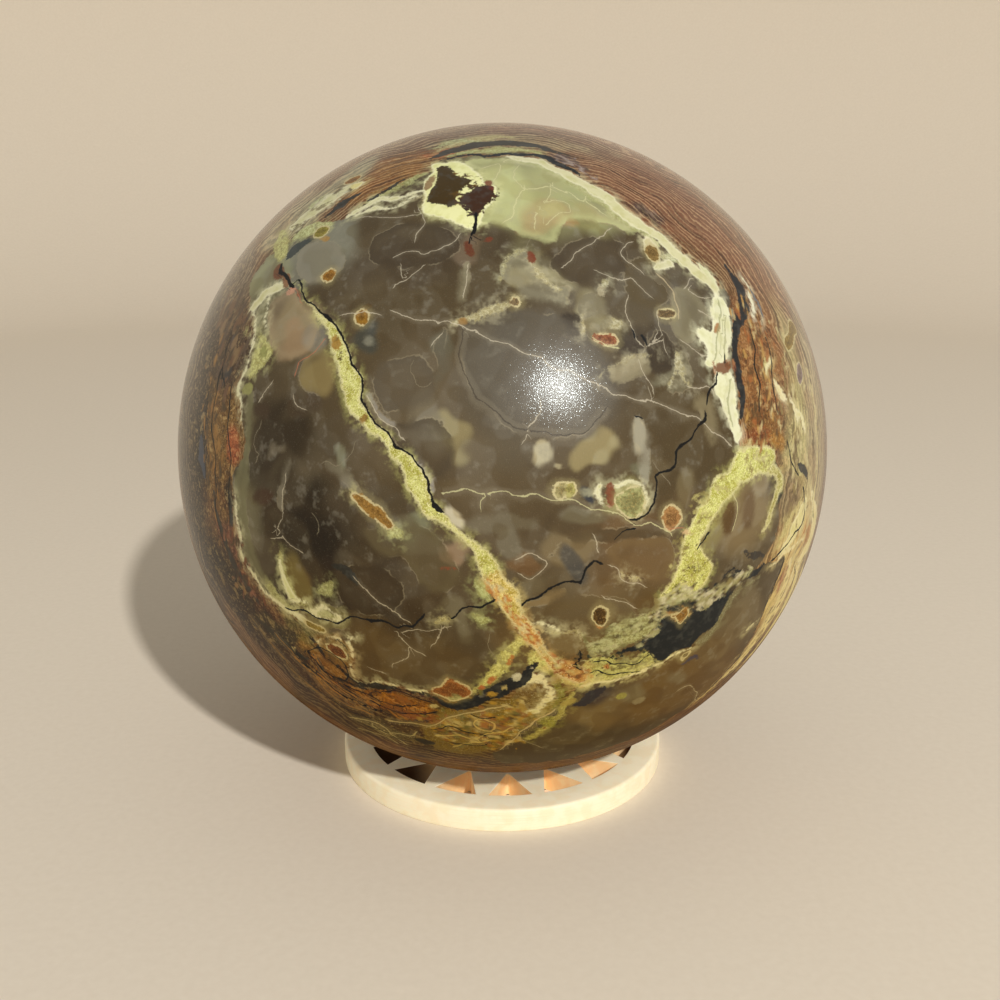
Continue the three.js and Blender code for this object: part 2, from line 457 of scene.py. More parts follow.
# %% Washes of the heart
heart_paint = np.tile(stone_colour(84, 73, 53), (len(chart), 1))
wash(heart_paint, [
    (-38, 8, 12, 20, 0, (80, 70, 52), 0.8),
    (-35, 36, 8, 7, 20, (128, 128, 112), 0.9),
    (-46.4, 33.4, 4.6, 5, 20, (150, 154, 118), 1.0),
    (-44.8, 22, 1.6, 5, 0, (140, 142, 104), 0.9),
    (-32, -18, 17, 12, -20, (50, 38, 20), 0.95),
    (-31, -13, 8, 6, 10, (26, 17, 5), 0.85),
    (-46, -9, 4, 8, 0, (112, 107, 82), 0.8),
    (-22, -36, 16, 7, -6, (94, 76, 42), 0.9),
    (-16, -22, 9, 6, -10, (56, 42, 20), 0.9),
    (-40, 1, 8, 8, 0, (42, 33, 20), 0.85),
    (2, -8, 20, 14, 0, (92, 80, 60), 0.8),
    (22, -15, 9, 7, 10, (104, 82, 54), 0.9),
    (14, -28, 12, 6, 10, (104, 88, 58), 0.7),
    (6, 12, 12, 10, 20, (94, 88, 76), 1.0),
    (22, 24, 12, 10, 0, (98, 90, 74), 0.7),
    (8, 46, 15, 9, -12, (158, 160, 112), 0.8),
    (20, -50, 9, 5, -20, (126, 108, 70), 0.7),
    (-6, 41, 7, 3, 0, (140, 136, 92), 0.8),
    (-12, 33, 13, 5, 6, (74, 64, 50), 0.8),
    (16, 33, 9, 4, -12, (84, 74, 58), 0.8),
    (43, -11, 6, 9, -8, (128, 114, 86), 1.0),
    (36, -12, 3, 10, -20, (140, 132, 84), 0.7),
    (34, -46, 26, 14, -30, (106, 84, 44), 0.9),
    (17, -45, 4, 2.5, 10, (62, 52, 54), 0.8),
    (50, -34, 12, 5, -40, (112, 100, 76), 0.7),
    (-12, 4, 9, 12, 30, (108, 98, 80), 0.6),
])
print("heart washed for", len(chart), "points")

# %% [markdown]
# ## Clouds in the opal
# Silica settled in rounded cells, so the heart is full of lighter and darker clouds with soft
# rims. The large ones have their own places, with a firmer rim than the broad washes.

# %% Cells of all sizes
CELL_TONES = [(60, 49, 36), (70, 58, 44), (112, 102, 80), (124, 116, 98), (98, 96, 90), (136, 122, 90)]
FIELD_RADIUS = 60


def cells(paint, count, smallest, largest, seed):
    """Round cells at random places. Each has its own tone, firmest at its rim and thinner
    towards its middle, and covers the ones before it, as silica settles in shells."""
    random = np.random.default_rng(seed)
    for number in range(count):
        reach = FIELD_RADIUS * math.sqrt(random.random())
        turned = random.uniform(0, 2 * math.pi)
        middle = reach * np.array([math.cos(turned), math.sin(turned)])
        size = smallest + (largest - smallest) * random.random() ** 2
        stretch = random.uniform(0.75, 1.25)
        tone = stone_colour(*CELL_TONES[random.integers(len(CELL_TONES))])
        strength = random.uniform(0.1, 0.34)
        picked = np.flatnonzero(np.abs(chart - middle).max(1) < 1.6 * size + 1)
        x, y = (chart[picked] - middle).T
        level = np.hypot(x * stretch, y / stretch) / size
        level += 0.2 * swell(surface[picked], size * 1.6 + 1, seed + number)
        inside = np.clip((1 - level) * size / 1.8 + 0.5, 0, 1)
        share = (strength * inside * (0.35 + 0.65 * np.clip(level, 0, 1) ** 3))[:, None]
        paint[picked] += share * (tone - paint[picked])


cells(heart_paint, 70, 3.5, 9.0, 300)
cells(heart_paint, 130, 1.0, 3.6, 500)
print("200 cells laid")

# %% Clouds
wash(heart_paint, [
    (5.5, 13.4, 11.6, 10.6, 0, (92, 85, 72), 0.92),
    (-37, 23, 5, 4, 20, (142, 132, 102), 0.8),
    (-36, 19, 4, 3, 0, (150, 122, 92), 0.8),
    (-31.5, 19, 3, 2.5, 0, (132, 132, 126), 0.8),
    (-30, 12.5, 3, 3, 0, (134, 120, 78), 0.9),
    (-42, 7, 2, 1.6, 0, (66, 52, 38), 0.8),
    (-34, 8, 2, 2, 0, (70, 58, 42), 0.7),
    (-30.5, 8, 1.6, 1.6, 0, (68, 56, 42), 0.7),
    (-42, -8, 2, 1.6, 0, (64, 42, 26), 0.8),
    (-38.5, 0, 2, 0.8, 20, (112, 104, 86), 0.6),
    (-26, -1, 0.9, 2, 10, (128, 130, 110), 0.8),
    (-25, -5, 1.4, 1.2, 0, (116, 112, 100), 0.8),
    (-22, 18, 2.3, 2.3, 0, (72, 74, 68), 0.9),
    (-22, 18, 0.8, 0.8, 0, (130, 132, 122), 0.9),
    (-14, -12.5, 3, 2.4, 20, (120, 122, 98), 0.8),
    (-9.5, 16.5, 1.6, 2.6, 20, (104, 104, 90), 0.6),
    (-13, 5, 2, 4, -20, (122, 116, 100), 0.6),
    (-7.6, 2.2, 4.0, 2.4, -50, (150, 142, 108), 0.85),
    (-7, -10.5, 0.9, 2.3, 40, (196, 190, 166), 0.9),
    (-7.5, -15.5, 2, 1.8, 0, (150, 128, 104), 0.7),
    (14.2, 0.2, 3.8, 2.2, 14, (156, 147, 110), 0.9),
    (6, -0.4, 1.1, 1.6, 0, (180, 174, 146), 0.95),
    (8, -2.4, 0.6, 0.6, 0, (170, 164, 136), 0.9),
    (21.5, 2.5, 0.9, 2.4, 0, (168, 162, 138), 0.9),
    (13.5, 23, 3, 3, 20, (140, 134, 104), 0.7),
    (17.5, 20, 3, 1.4, -20, (136, 130, 100), 0.7),
    (11, 20.5, 2, 1.5, 10, (58, 50, 42), 0.9),
    (1.5, 19, 3, 2.2, 0, (84, 78, 66), 0.7),
    (20.5, 17, 2.4, 2.2, 0, (72, 64, 54), 0.8),
    (25, 16, 4, 3.4, 0, (70, 62, 52), 0.8),
    (39.2, -11.8, 1.5, 3.0, 0, (88, 64, 32), 0.9),
    (44, -10, 1.7, 3.2, 0, (98, 78, 54), 0.8),
    (46.4, -5.8, 2, 2, 0, (146, 136, 112), 0.8),
    (22.5, 16, 1, 0.8, 0, (128, 124, 112), 0.7),
    (20, 13.3, 3, 1.2, 25, (150, 142, 116), 0.8),
    (28.5, 12, 1.5, 2.6, -25, (110, 104, 82), 0.7),
    (30.5, 22, 2, 5, 10, (120, 114, 92), 0.6),
    (5.5, 29.4, 3.8, 3, 25, (156, 150, 116), 0.85),
    (9, 27.4, 2.6, 1.8, -20, (140, 134, 104), 0.7),
    (8, 31, 2.4, 2, 0, (66, 56, 44), 0.7),
    (-5.7, 33, 3, 2.4, 70, (120, 104, 84), 0.6),
    (-1, 48, 6, 6, 0, (196, 202, 146), 0.8),
    (2, 42, 4, 5, 0, (176, 180, 130), 0.7),
    (19, 42.6, 6, 3, -30, (148, 138, 108), 0.85),
    (7.5, 41, 4.6, 3.6, 10, (156, 118, 82), 0.9),
    (8.8, 42, 2.6, 1.8, 10, (172, 158, 106), 0.85),
    (5.6, 37.4, 2.6, 1.4, 10, (150, 112, 80), 0.8),
    (11, 39.4, 2.0, 1.2, -10, (164, 140, 96), 0.8),
    (15, 42, 3, 2, -20, (150, 134, 92), 0.7),
    (15, 46, 3, 2, -20, (128, 136, 96), 0.7),
    (17.5, 43.5, 2, 0.9, -30, (84, 84, 56), 0.7),
    (-36.5, -23, 2.6, 4.4, 10, (102, 84, 50), 0.8),
    (-36.4, -23, 2.8, 4.0, 12, (116, 104, 56), 0.9),
    (-29, -19, 2, 1.2, 0, (44, 32, 20), 0.8),
    (-12.5, -2.8, 2.4, 1, -52, (172, 166, 150), 0.7),
    (10, -15, 4, 3, 0, (130, 116, 86), 0.6),
    (11, -18, 1.4, 3.8, 24, (66, 66, 66), 0.8),
    (-10.8, 3, 1.6, 4.8, 18, (122, 116, 100), 0.75),
    (0, -11, 5, 1.6, 0, (116, 110, 92), 0.6),
    (1, -14.6, 1.4, 2.8, 30, (118, 113, 96), 0.6),
    (12.5, -10.2, 3.4, 1.3, -6, (122, 118, 98), 0.6),
    (-12.5, -15, 3.4, 1.5, 0, (112, 106, 88), 0.6),
    (-15.4, -11.6, 4, 1.4, -26, (108, 103, 86), 0.6),
    (4, -22, 3.6, 1.4, 24, (112, 104, 82), 0.6),
    (-7, -27, 1.6, 4, 20, (118, 112, 90), 0.6),
    (3.6, -17.8, 2.6, 1.5, -12, (110, 84, 54), 0.8),
    (13, -6.5, 0.6, 1.3, 20, (52, 56, 64), 0.9),
    (19, -7.5, 3.6, 3, -10, (160, 162, 112), 0.9),
    (22, -3, 1.8, 1.2, 0, (118, 120, 100), 0.7),
    (30, -6, 1.6, 3.4, 10, (128, 118, 90), 0.6),
    (10.5, -32, 3.2, 2.4, 10, (116, 100, 66), 0.8),
    (11, -41, 2.2, 1.8, 0, (136, 122, 82), 0.8),
    (-21, -22, 3.5, 2.6, 20, (72, 60, 42), 0.7),
    (-44, 34, 3, 5, 15, (126, 122, 100), 0.7),
    (24.5, -46.5, 3.6, 2.2, -20, (120, 112, 88), 0.7),
    (34, -44, 3, 1.8, -30, (118, 108, 86), 0.7),
], unevenness=0.16, edge=0.28)
print("clouds laid")

# %% [markdown]
# Some clouds are clear shapes with a thin soft edge: the large round eye and the shells
# about it, the green opal at the top and the pale lining along the left border. They are a
# layer, so that the material can keep their edges at the right softness.

# %% Shaped clouds
cloud = Layer("cloud")
for colour, text in [
    ((188, 192, 138),
     "(-13,42)(-10,40.4)(-7,38.6)(-5,37.4)(-3,38.4)(0.2,38.2)(3.8,35.8)(8,34.8)(9.4,36.6)(11.5,39.5)"
     "(15,40.2)(19,39.6)(23,38.8)(26,40)(22,42.4)(19,46)(15,49)(10,53)(6,55.6)(0,56.2)(-6,56)(-10,53)"
     "(-13,47)"),
    ((90, 84, 72),
     "(-6.5,18)(-6.4,15)(-5.6,11.2)(-4,8.2)(-1.6,5.5)(1.2,3.5)(4.5,2.4)(8.8,2.2)(12,2.8)(14.4,3.9)"
     "(16.2,6.2)(17.4,9.8)(16.4,14.4)(12.6,18.6)(7,21.4)(2.2,22.4)(-2.8,21)(-5.5,19.6)"),
    ((104, 98, 76), "(27,10)(28.4,13)(29.2,16)(30.8,14)(31.4,11)(29.4,9.2)"),
    ((142, 134, 106), "(15.6,11.4)(18,13.8)(21.6,14.9)(25,15.4)(24.4,13)(21,11.6)(18,10.6)"),
    ((56, 47, 38), "(17.6,17.6)(19,19.6)(21.4,19.8)(23,18.4)(22.6,16.4)(20.4,15.2)(18.4,15.8)"),
    ((58, 49, 38), "(22.6,14.8)(24,18.6)(26.6,19.4)(28.6,17)(28,13.8)(25.6,12.6)(23.4,13)"),
    ((136, 130, 104), "(28,24)(29,27.4)(32,28.4)(35,26.4)(36,22.6)(33.4,19.4)(30.4,18)(28.4,20)"),
    ((138, 128, 98), "(31.6,8)(33.8,9)(35.6,6.4)(36,3.4)(34.6,1.4)(33.8,4)"),
    ((156, 140, 110), "(-43,27)(-39,28.6)(-35,26)(-32,23)(-31,20)(-33,17)(-37,15.6)(-40,17)(-42,21)"),
    ((130, 116, 76), "(-33.6,15.6)(-30.4,17.2)(-28,15)(-27.2,11.6)(-29,9.4)(-32,10)(-34,12.6)"),
    ((92, 82, 56),
     "(-21.8,-13.2)(-17.2,-12.2)(-11.2,-12.2)(-7.2,-18)(-7.8,-21.8)(-10.5,-22.5)(-13,-21.5)(-15.5,-17.2)"
     "(-19.8,-16.2)"),
    ((124, 118, 76), "(-35.2,-28)(-31.5,-26.8)(-27.8,-27)(-26.2,-29.2)(-27.8,-31.2)(-32.5,-31.5)(-35.2,-30)"),
    ((138, 134, 112),
     "(-0.2,28.8)(0,30.5)(1.8,32.5)(3.8,32.8)(5.2,30.2)(6,27.5)(8.2,26.5)(10.8,26.2)(10.8,25)(8.8,23.8)"
     "(5.2,24)(3.2,24.8)(2.2,26.5)(0.5,27.5)"),
    ((120, 114, 94), "(12.2,23.5)(14.8,26.5)(15.8,24.5)(16.5,22.8)(15.2,21.5)(13.2,21)"),
    ((54, 42, 24), "(-27,-20)(-21,-18.6)(-16.4,-21)(-17,-25.6)(-22,-27.6)(-28,-25)"),
    ((112, 92, 60), "(17,-15)(22,-14.2)(27,-14.6)(28.8,-18)(26,-21.4)(21,-20)(17.4,-18)"),
    ((74, 62, 42), "(9.6,-13.6)(14,-12.6)(20,-12)(27,-12.2)(28.4,-13.6)(22,-14)(15,-14.4)"),
    ((96, 82, 54), "(9,-25)(14,-23.6)(20,-24.6)(23,-27.6)(20,-30)(14,-31)(10,-29)"),
    ((88, 80, 66), "(-20,12)(-17,14.6)(-12.6,14.4)(-10.4,11)(-12,7.6)(-16.6,6.4)(-19.6,8.4)"),
    ((70, 61, 48), "(-17,3)(-12.6,5)(-8.6,3)(-7.4,-1)(-10,-4)(-13,-2.6)"),
    ((66, 56, 42), "(-22,38)(-16,39.6)(-10,38)(-7.4,34)(-10,31)(-17,30.6)(-22.6,33)"),
    ((70, 60, 46), "(8,30)(11,34.6)(16,36.6)(20,36)(21.6,32)(18,29)(12,27.6)"),
    ((86, 74, 50), "(20,30)(24,33)(28,31.6)(28,27)(25,23.4)(21.6,24.6)"),
    ((136, 132, 116), "(-38,38)(-32,38.6)(-28,35)(-28.4,31)(-33,29.6)(-37,32)"),
]:
    cloud.patch(text, colour)
print("clouds with an outline drawn")

# %% Streaks of cloud
for colour, text in [
    ((118, 116, 84), "(-45.6,10,0.8)(-45.6,2,0.9)(-47.6,-6,1.6)(-48,-14,1.6)(-47,-20,1.4)(-43.6,-26,1.2)"),
    ((160, 154, 120), "(0.8,29.6,0.8)(1.8,31.2,0.9)(3.4,31.4,0.7)"),
    ((152, 146, 116), "(4.4,27.6,0.4)(5.6,26,0.8)(8,25,0.9)(10,25,0.6)"),
    ((156, 152, 142), "(-12.9,-2.2,0.5)(-11.8,-4,0.6)(-10.6,-6.2,0.5)"),
    ((146, 142, 132), "(-21,8.9,0.2)(-20,6.9,0.35)(-18,5.1,0.4)(-16,3.3,0.3)(-14.4,1.4,0.2)"),
    ((94, 88, 72), "(-9.4,19,0.3)(-9.8,16,0.7)(-9.2,13,0.7)(-10.4,10,0.4)"),
    ((150, 146, 128), "(21.2,5,0.4)(21.6,2.6,0.9)(22,0,0.6)(22.6,-3,0.8)(22,-5.6,0.5)"),
    ((130, 112, 78), "(3,-25.2,0.3)(6.5,-23.9,0.5)(9.6,-22,0.4)"),
    ((132, 130, 108), "(24,10.4,0.3)(27,12.4,0.6)(29,15,0.5)"),
    ((124, 118, 98), "(-28,-2,0.4)(-26,-3.4,0.8)(-24,-5.4,0.8)(-22.6,-6.6,0.4)"),
    ((140, 134, 108), "(-6,30,0.4)(-6.2,27,0.7)(-6.4,24,0.4)"),
    ((118, 112, 94), "(-36,-2,0.3)(-37.4,-6,0.5)(-38.4,-10,0.4)"),
]:
    cloud.stroke(text, colour)
print("points in shaped clouds:", int((cloud.depth > 0).sum()))

# %% [markdown]
# ## Crusts
# Where the heart meets the wood, and along old cracks, pale opal has grown as crusts: cream,
# pale green or yellow. They have fluffy edges, which the material adds to these outlines. The
# brightest ones are smoother, like milk glass, so they go to a layer of their own.

# %% Cream and green crusts
CREAM = (212, 210, 168)
GREEN = (168, 172, 118)
# A colour whose three values add up to more than this goes to the smooth layer.
BRIGHT = 580
crust = Layer("crust")
milk = Layer("milk")
for colour, text in [
    (CREAM,
     "(1,56.6,0.5)(4,56.2,0.7)(7,55.4,0.9)(10,53.2,1.1)(13,51.2,1.2)(15,49.6,1.3)(18,47.6,1.4)"
     "(20,45.2,1.4)(22,42.8,1.5)(25,40.6,1.3)(28,39,1.2)(30,36.7,1.2)(33,34,1.2)(35,32,1.2)"
     "(38.5,29.5,1.2)"),
    (GREEN, "(12,50,0.8)(15,47.8,1.2)(18,45.6,1.4)(20.5,43,1.4)(23,40.6,1)(26,38.6,0.5)"),
    (CREAM, "(-29,43.6,0.5)(-24,46.6,0.7)(-19,46.4,0.5)(-15,47.5,0.5)(-13,47.3,0.4)"),
    (CREAM, "(-27,43.8,0.3)(-24,44.6,0.5)(-19.5,44.2,0.35)(-15.5,46,0.3)"),
    (GREEN, "(-28,44.4,0.4)(-24,47.5,0.8)(-18,50.4,0.8)(-15,52.6,0.5)"),
    (CREAM, "(-48,27,0.8)(-45,30,1.1)(-41,30.8,0.8)(-39.5,30.8,0.3)"),
    (CREAM, "(-44,29,0.4)(-43.5,25,0.3)(-43,22,0.2)"),
    (CREAM,
     "(-48.6,27,0.3)(-46.2,24,0.3)(-46.2,18,0.3)(-47.2,15.5,0.3)(-48.6,12,0.4)(-48,9,0.3)(-47.3,4,0.2)"),
    (CREAM,
     "(-49.8,-8,0.15)(-49.8,-12,0.25)(-49.5,-16,0.3)(-50,-19,0.35)(-48.5,-22,0.35)(-47,-23.5,0.4)"
     "(-45,-26.5,0.4)(-42.5,-28.2,0.5)(-40,-29,0.6)(-36,-31,0.5)"),
    ((196, 198, 132), "(-46,45,1)(-44.5,41,1.9)(-43,38,1.2)"),
    ((196, 204, 150), "(-41,42,0.8)(-37,43,1.8)(-33,43,1)"),
    ((188, 198, 150), "(-40,51,0.8)(-38,51,1.7)(-36,51.5,0.8)"),
    (CREAM, "(-43,46,1.2)(-39,48,1.8)(-35,51,2)(-31,53,1.3)"),
    ((225, 215, 150), "(-33,52,0.8)(-30.5,53,1.2)(-28,54,0.6)"),
    ((176, 176, 116), "(-39.5,-18,0.7)(-39,-22,0.9)(-38.3,-25,0.9)(-37,-27,0.9)(-35.2,-27.6,0.7)"),
    ((176, 178, 122), "(-43,-25.5,1.1)(-41.5,-27.5,1.5)(-38,-29.6,1)"),
    (CREAM, "(-34.5,-28.4,0.3)(-31,-27.5,0.4)(-28,-28.6,0.3)(-30,-29.7,0.3)(-34,-29,0.3)"),
    (GREEN, "(-35,-28.6,0.3)(-31,-28.6,0.8)(-28.5,-28.8,0.3)"),
    (GREEN, "(-31.5,-24.5,0.6)(-30.5,-23.5,1.2)(-29.5,-22.5,0.4)"),
    (CREAM, "(-27.5,-34,0.3)(-26.5,-32.8,0.5)(-25.8,-32.3,0.2)"),
    (CREAM, "(-28.5,-43.2,0.2)(-25.5,-43.4,0.3)(-22,-42.4,0.25)(-17,-42.9,0.3)(-13.5,-43.5,0.3)"),
    ((206, 206, 130),
     "(3.2,-31,0.8)(1.5,-33.5,1.3)(0,-36,1.4)(-1.5,-38.5,1.2)(-3.5,-41,0.9)(-5.5,-42.5,0.4)"),
    ((206, 206, 130), "(5,-33.5,0.9)(6,-35.5,1.6)(8,-37,1.4)"),
    ((190, 186, 110), "(12.5,-43.5,0.6)(11.5,-47,0.7)(10.3,-50,0.8)(7.5,-54,0.8)(4.5,-57,0.4)"),
    ((204, 202, 132), "(11,-40,1.2)(14,-41,1.3)(18,-40.3,1.3)(22,-39.7,1.1)(26,-38.9,0.8)(29,-37.8,0.6)"),
    ((226, 222, 170),
     "(14,-41.8,0.2)(17.2,-41.6,0.3)(20.2,-41.5,0.3)(23.2,-41.2,0.3)(26.2,-40,0.35)(29.2,-38.7,0.35)"
     "(32.2,-37.4,0.3)(34.5,-37.1,0.3)(36,-37,0.2)"),
    ((132, 130, 102), "(36,-36.4,0.4)(39,-35,0.8)(41.2,-31.2,0.9)(42.4,-27.5,0.8)(45.2,-26,0.6)(50,-24,0.4)"),
    (CREAM, "(50,-37,0.3)(53,-36,0.2)"),
    (CREAM, "(14.8,-5.4,0.3)(14.2,-6.2,0.5)(14.7,-7.4,0.5)(15.6,-8.4,0.3)"),
    (CREAM, "(16.8,-5.2,0.25)(19.5,-5,0.35)(22,-6,0.4)(23,-8,0.4)(22,-10,0.3)"),
    ((184, 182, 146), "(-0.6,27.5,0.2)(0,29,0.3)(0.4,30.8,0.4)(1.6,32.2,0.4)(3.4,32.6,0.3)"),
    ((196, 190, 156), "(4,31,0.3)(5.6,29,0.4)(7.2,26.6,0.5)(9.6,25.7,0.4)"),
    ((190, 184, 148), "(-7.5,19.8,0.4)(-4,21,0.8)(-2,22,0.8)(0,23,0.7)(2.2,23.8,0.5)"),
    ((196, 190, 160), "(13,21.6,0.15)(12.7,19.8,0.3)(12,18.6,0.2)"),
    ((192, 188, 158), "(17.2,19.4,0.5)(18,20.2,1)(18.8,20.6,0.4)"),
    ((186, 184, 156), "(16,26.6,0.3)(17,27.2,0.8)(17.6,28,0.3)"),
    ((186, 180, 150), "(15,11.4,0.15)(17,13,0.18)(19.5,14.5,0.2)(21.5,15.1,0.2)(24.6,15.6,0.15)"),
    ((200, 196, 166), "(28.8,16,0.3)(28.2,13,0.5)(27,10.6,0.35)"),
    ((194, 190, 160), "(31,10.6,0.3)(29.6,12.4,0.4)(29,15,0.3)"),
    ((214, 206, 170), "(25.5,37.4,0.6)(26.4,35.5,1.4)(27,33.4,0.7)"),
    ((208, 206, 170), "(29.2,32.6,0.9)(27.5,31.8,0.8)(26,31.2,0.4)"),
    ((176, 184, 126), "(-4.6,-21,0.6)(-3.5,-22,1.1)(-2.4,-23.4,0.7)"),
    ((176, 184, 126), "(-4,-26.4,0.5)(-3.2,-27,1)(-2.4,-27.2,0.4)"),
    ((190, 184, 136), "(-10.6,-27.9,0.3)(-10,-27.4,0.7)(-9.4,-27,0.3)"),
    ((190, 184, 146), "(5.4,-30,0.2)(10,-29.9,0.25)(12,-29.8,0.3)(13,-31,0.3)(13.3,-33.6,0.2)"),
    (CREAM, "(4.5,-28.5,0.2)(7,-28,0.3)(9,-29.4,0.2)"),
    ((208, 200, 160), "(22.5,-21.2,0.1)(20.3,-20.4,0.4)(19,-19.4,0.1)"),
    ((214, 210, 150), "(-24.2,-6.5,0.3)(-23.4,-6.9,0.7)(-22.6,-7.2,0.3)"),
    ((196, 202, 144), "(-17.8,-12,0.5)(-17.2,-12.8,1.1)(-16.6,-13.8,0.5)"),
    ((228, 216, 160), "(52.8,-22.8,0.2)(57,-21,0.4)(62,-19.8,0.4)(65.8,-19,0.3)"),
    ((236, 222, 166),
     "(64.5,-24,0.4)(63.8,-30.8,0.7)(62,-36.2,0.7)(58.2,-42,0.7)(55,-47.5,0.6)(52.8,-50.2,0.4)"),
    ((220, 204, 156), "(57.8,-34,0.2)(57,-40,0.5)(53.4,-46,0.5)(48.4,-52.6,0.4)(43,-58,0.3)"),
    ((232, 216, 160), "(70,-22,0.4)(66.8,-26,0.5)(65,-30.5,0.2)"),
    ((222, 212, 152), "(51.5,18,0.2)(50,16.8,0.45)(48.8,14.2,0.2)"),
    ((224, 214, 156), "(51.2,13.2,0.2)(53.5,11.2,0.5)(54.8,9.8,0.3)"),
    ((226, 218, 164), "(55.5,9.8,0.2)(60,7,0.6)(62,4.2,0.3)"),
    ((226, 214, 168), "(51,13,0.3)(52.6,11.4,0.8)(54.4,9.6,0.3)"),
    ((220, 210, 160), "(56,11,0.2)(57.6,8.4,0.7)(59.2,5.6,0.2)"),
    ((226, 226, 202), "(48.1,30.6,0.3)(47.9,27.8,0.6)(47.3,25.2,0.3)"),
    ((208, 198, 150), "(57.4,24,0.3)(57.6,22,0.8)(57.2,20,0.3)"),
    ((196, 186, 130), "(49,18.6,0.3)(49.2,17,0.9)(48.6,15.4,0.4)"),
    ((224, 204, 150), "(53,-47,0.4)(57,-43,0.7)(60,-38,0.9)(59,-33,0.7)(61,-27,0.5)"),
    ((216, 204, 156), "(66,-20,0.3)(68,-10,0.8)(69,0,0.5)(68,9,0.8)(66,18,0.3)"),
    ((206, 196, 150), "(62,-24,0.3)(64,-14,0.7)(64,-4,0.3)"),
    ((190, 180, 130), "(-13,61,0.6)(-9,63.6,1.2)(-4,65.6,1.2)(2,66,0.6)"),
    ((186, 188, 132), "(-9,58.9,0.5)(-5,59.7,0.8)(1,60.2,0.9)(7,59,0.6)"),
    ((208, 200, 150), "(-14,-53.6,0.2)(-10,-52.6,0.4)(-7,-52,0.2)"),
    ((214, 216, 166), "(-39.6,-19.2,0.3)(-39.6,-21.8,0.5)(-39,-24.8,0.7)(-37.5,-27,0.8)(-35,-26.8,0.4)"),
    ((220, 206, 158),
     "(-35.2,-35.8,0.12)(-31.5,-33.8,0.22)(-28,-34.2,0.3)(-26.8,-35.5,0.35)(-27.2,-37.5,0.3)"
     "(-28.2,-39.2,0.25)(-27.4,-42,0.2)"),
    ((206, 210, 160), "(25.5,39.5,0.5)(26,37.5,0.9)(27.8,36.4,0.6)"),
    ((214, 216, 176), "(35.5,34,0.3)(37.5,32.4,0.8)(39,30,0.8)(38,29,0.3)"),
    ((200, 204, 168), "(26.4,33.4,0.5)(29.5,34,0.9)(32,33.4,0.6)"),
    ((226, 222, 190), "(46.6,34,0.2)(48.4,32.4,0.5)(48.8,31,0.2)"),
    ((214, 208, 176), "(49.9,26.6,0.2)(49.9,25.2,0.5)(49,24.2,0.2)"),
    ((178, 186, 132), "(-11,58.2,0.4)(-6,59.4,0.9)(0.5,59.2,0.9)"),
    ((186, 190, 140), "(-14.6,62.6,0.6)(-10,64.8,1.4)(-5.4,64,1)"),
    ((232, 222, 170), "(66.4,-9,0.7)(70,-13,1.5)(72.4,-18,1.9)(70,-22.4,1.6)(66.4,-24,1)"),
    ((230, 218, 160), "(66,-25.6,0.6)(68.4,-31,1.3)(67.8,-37,1.5)(64.6,-43,1.3)(61,-48,0.9)(57.6,-52,0.4)"),
    ((228, 214, 158), "(72.4,-27,0.6)(73.6,-34,1.2)(71.4,-42,1.2)(67.4,-49,1)(63.6,-55,0.4)"),
    ((226, 214, 160), "(60.8,-22.8,0.5)(61.6,-29,1)(60,-35.4,1.1)(56.6,-42,1)(52.4,-48.6,0.7)(48,-53.6,0.3)"),
]:
    (milk if sum(colour) > BRIGHT else crust).stroke(text, colour)
print("crusts drawn along the borders")

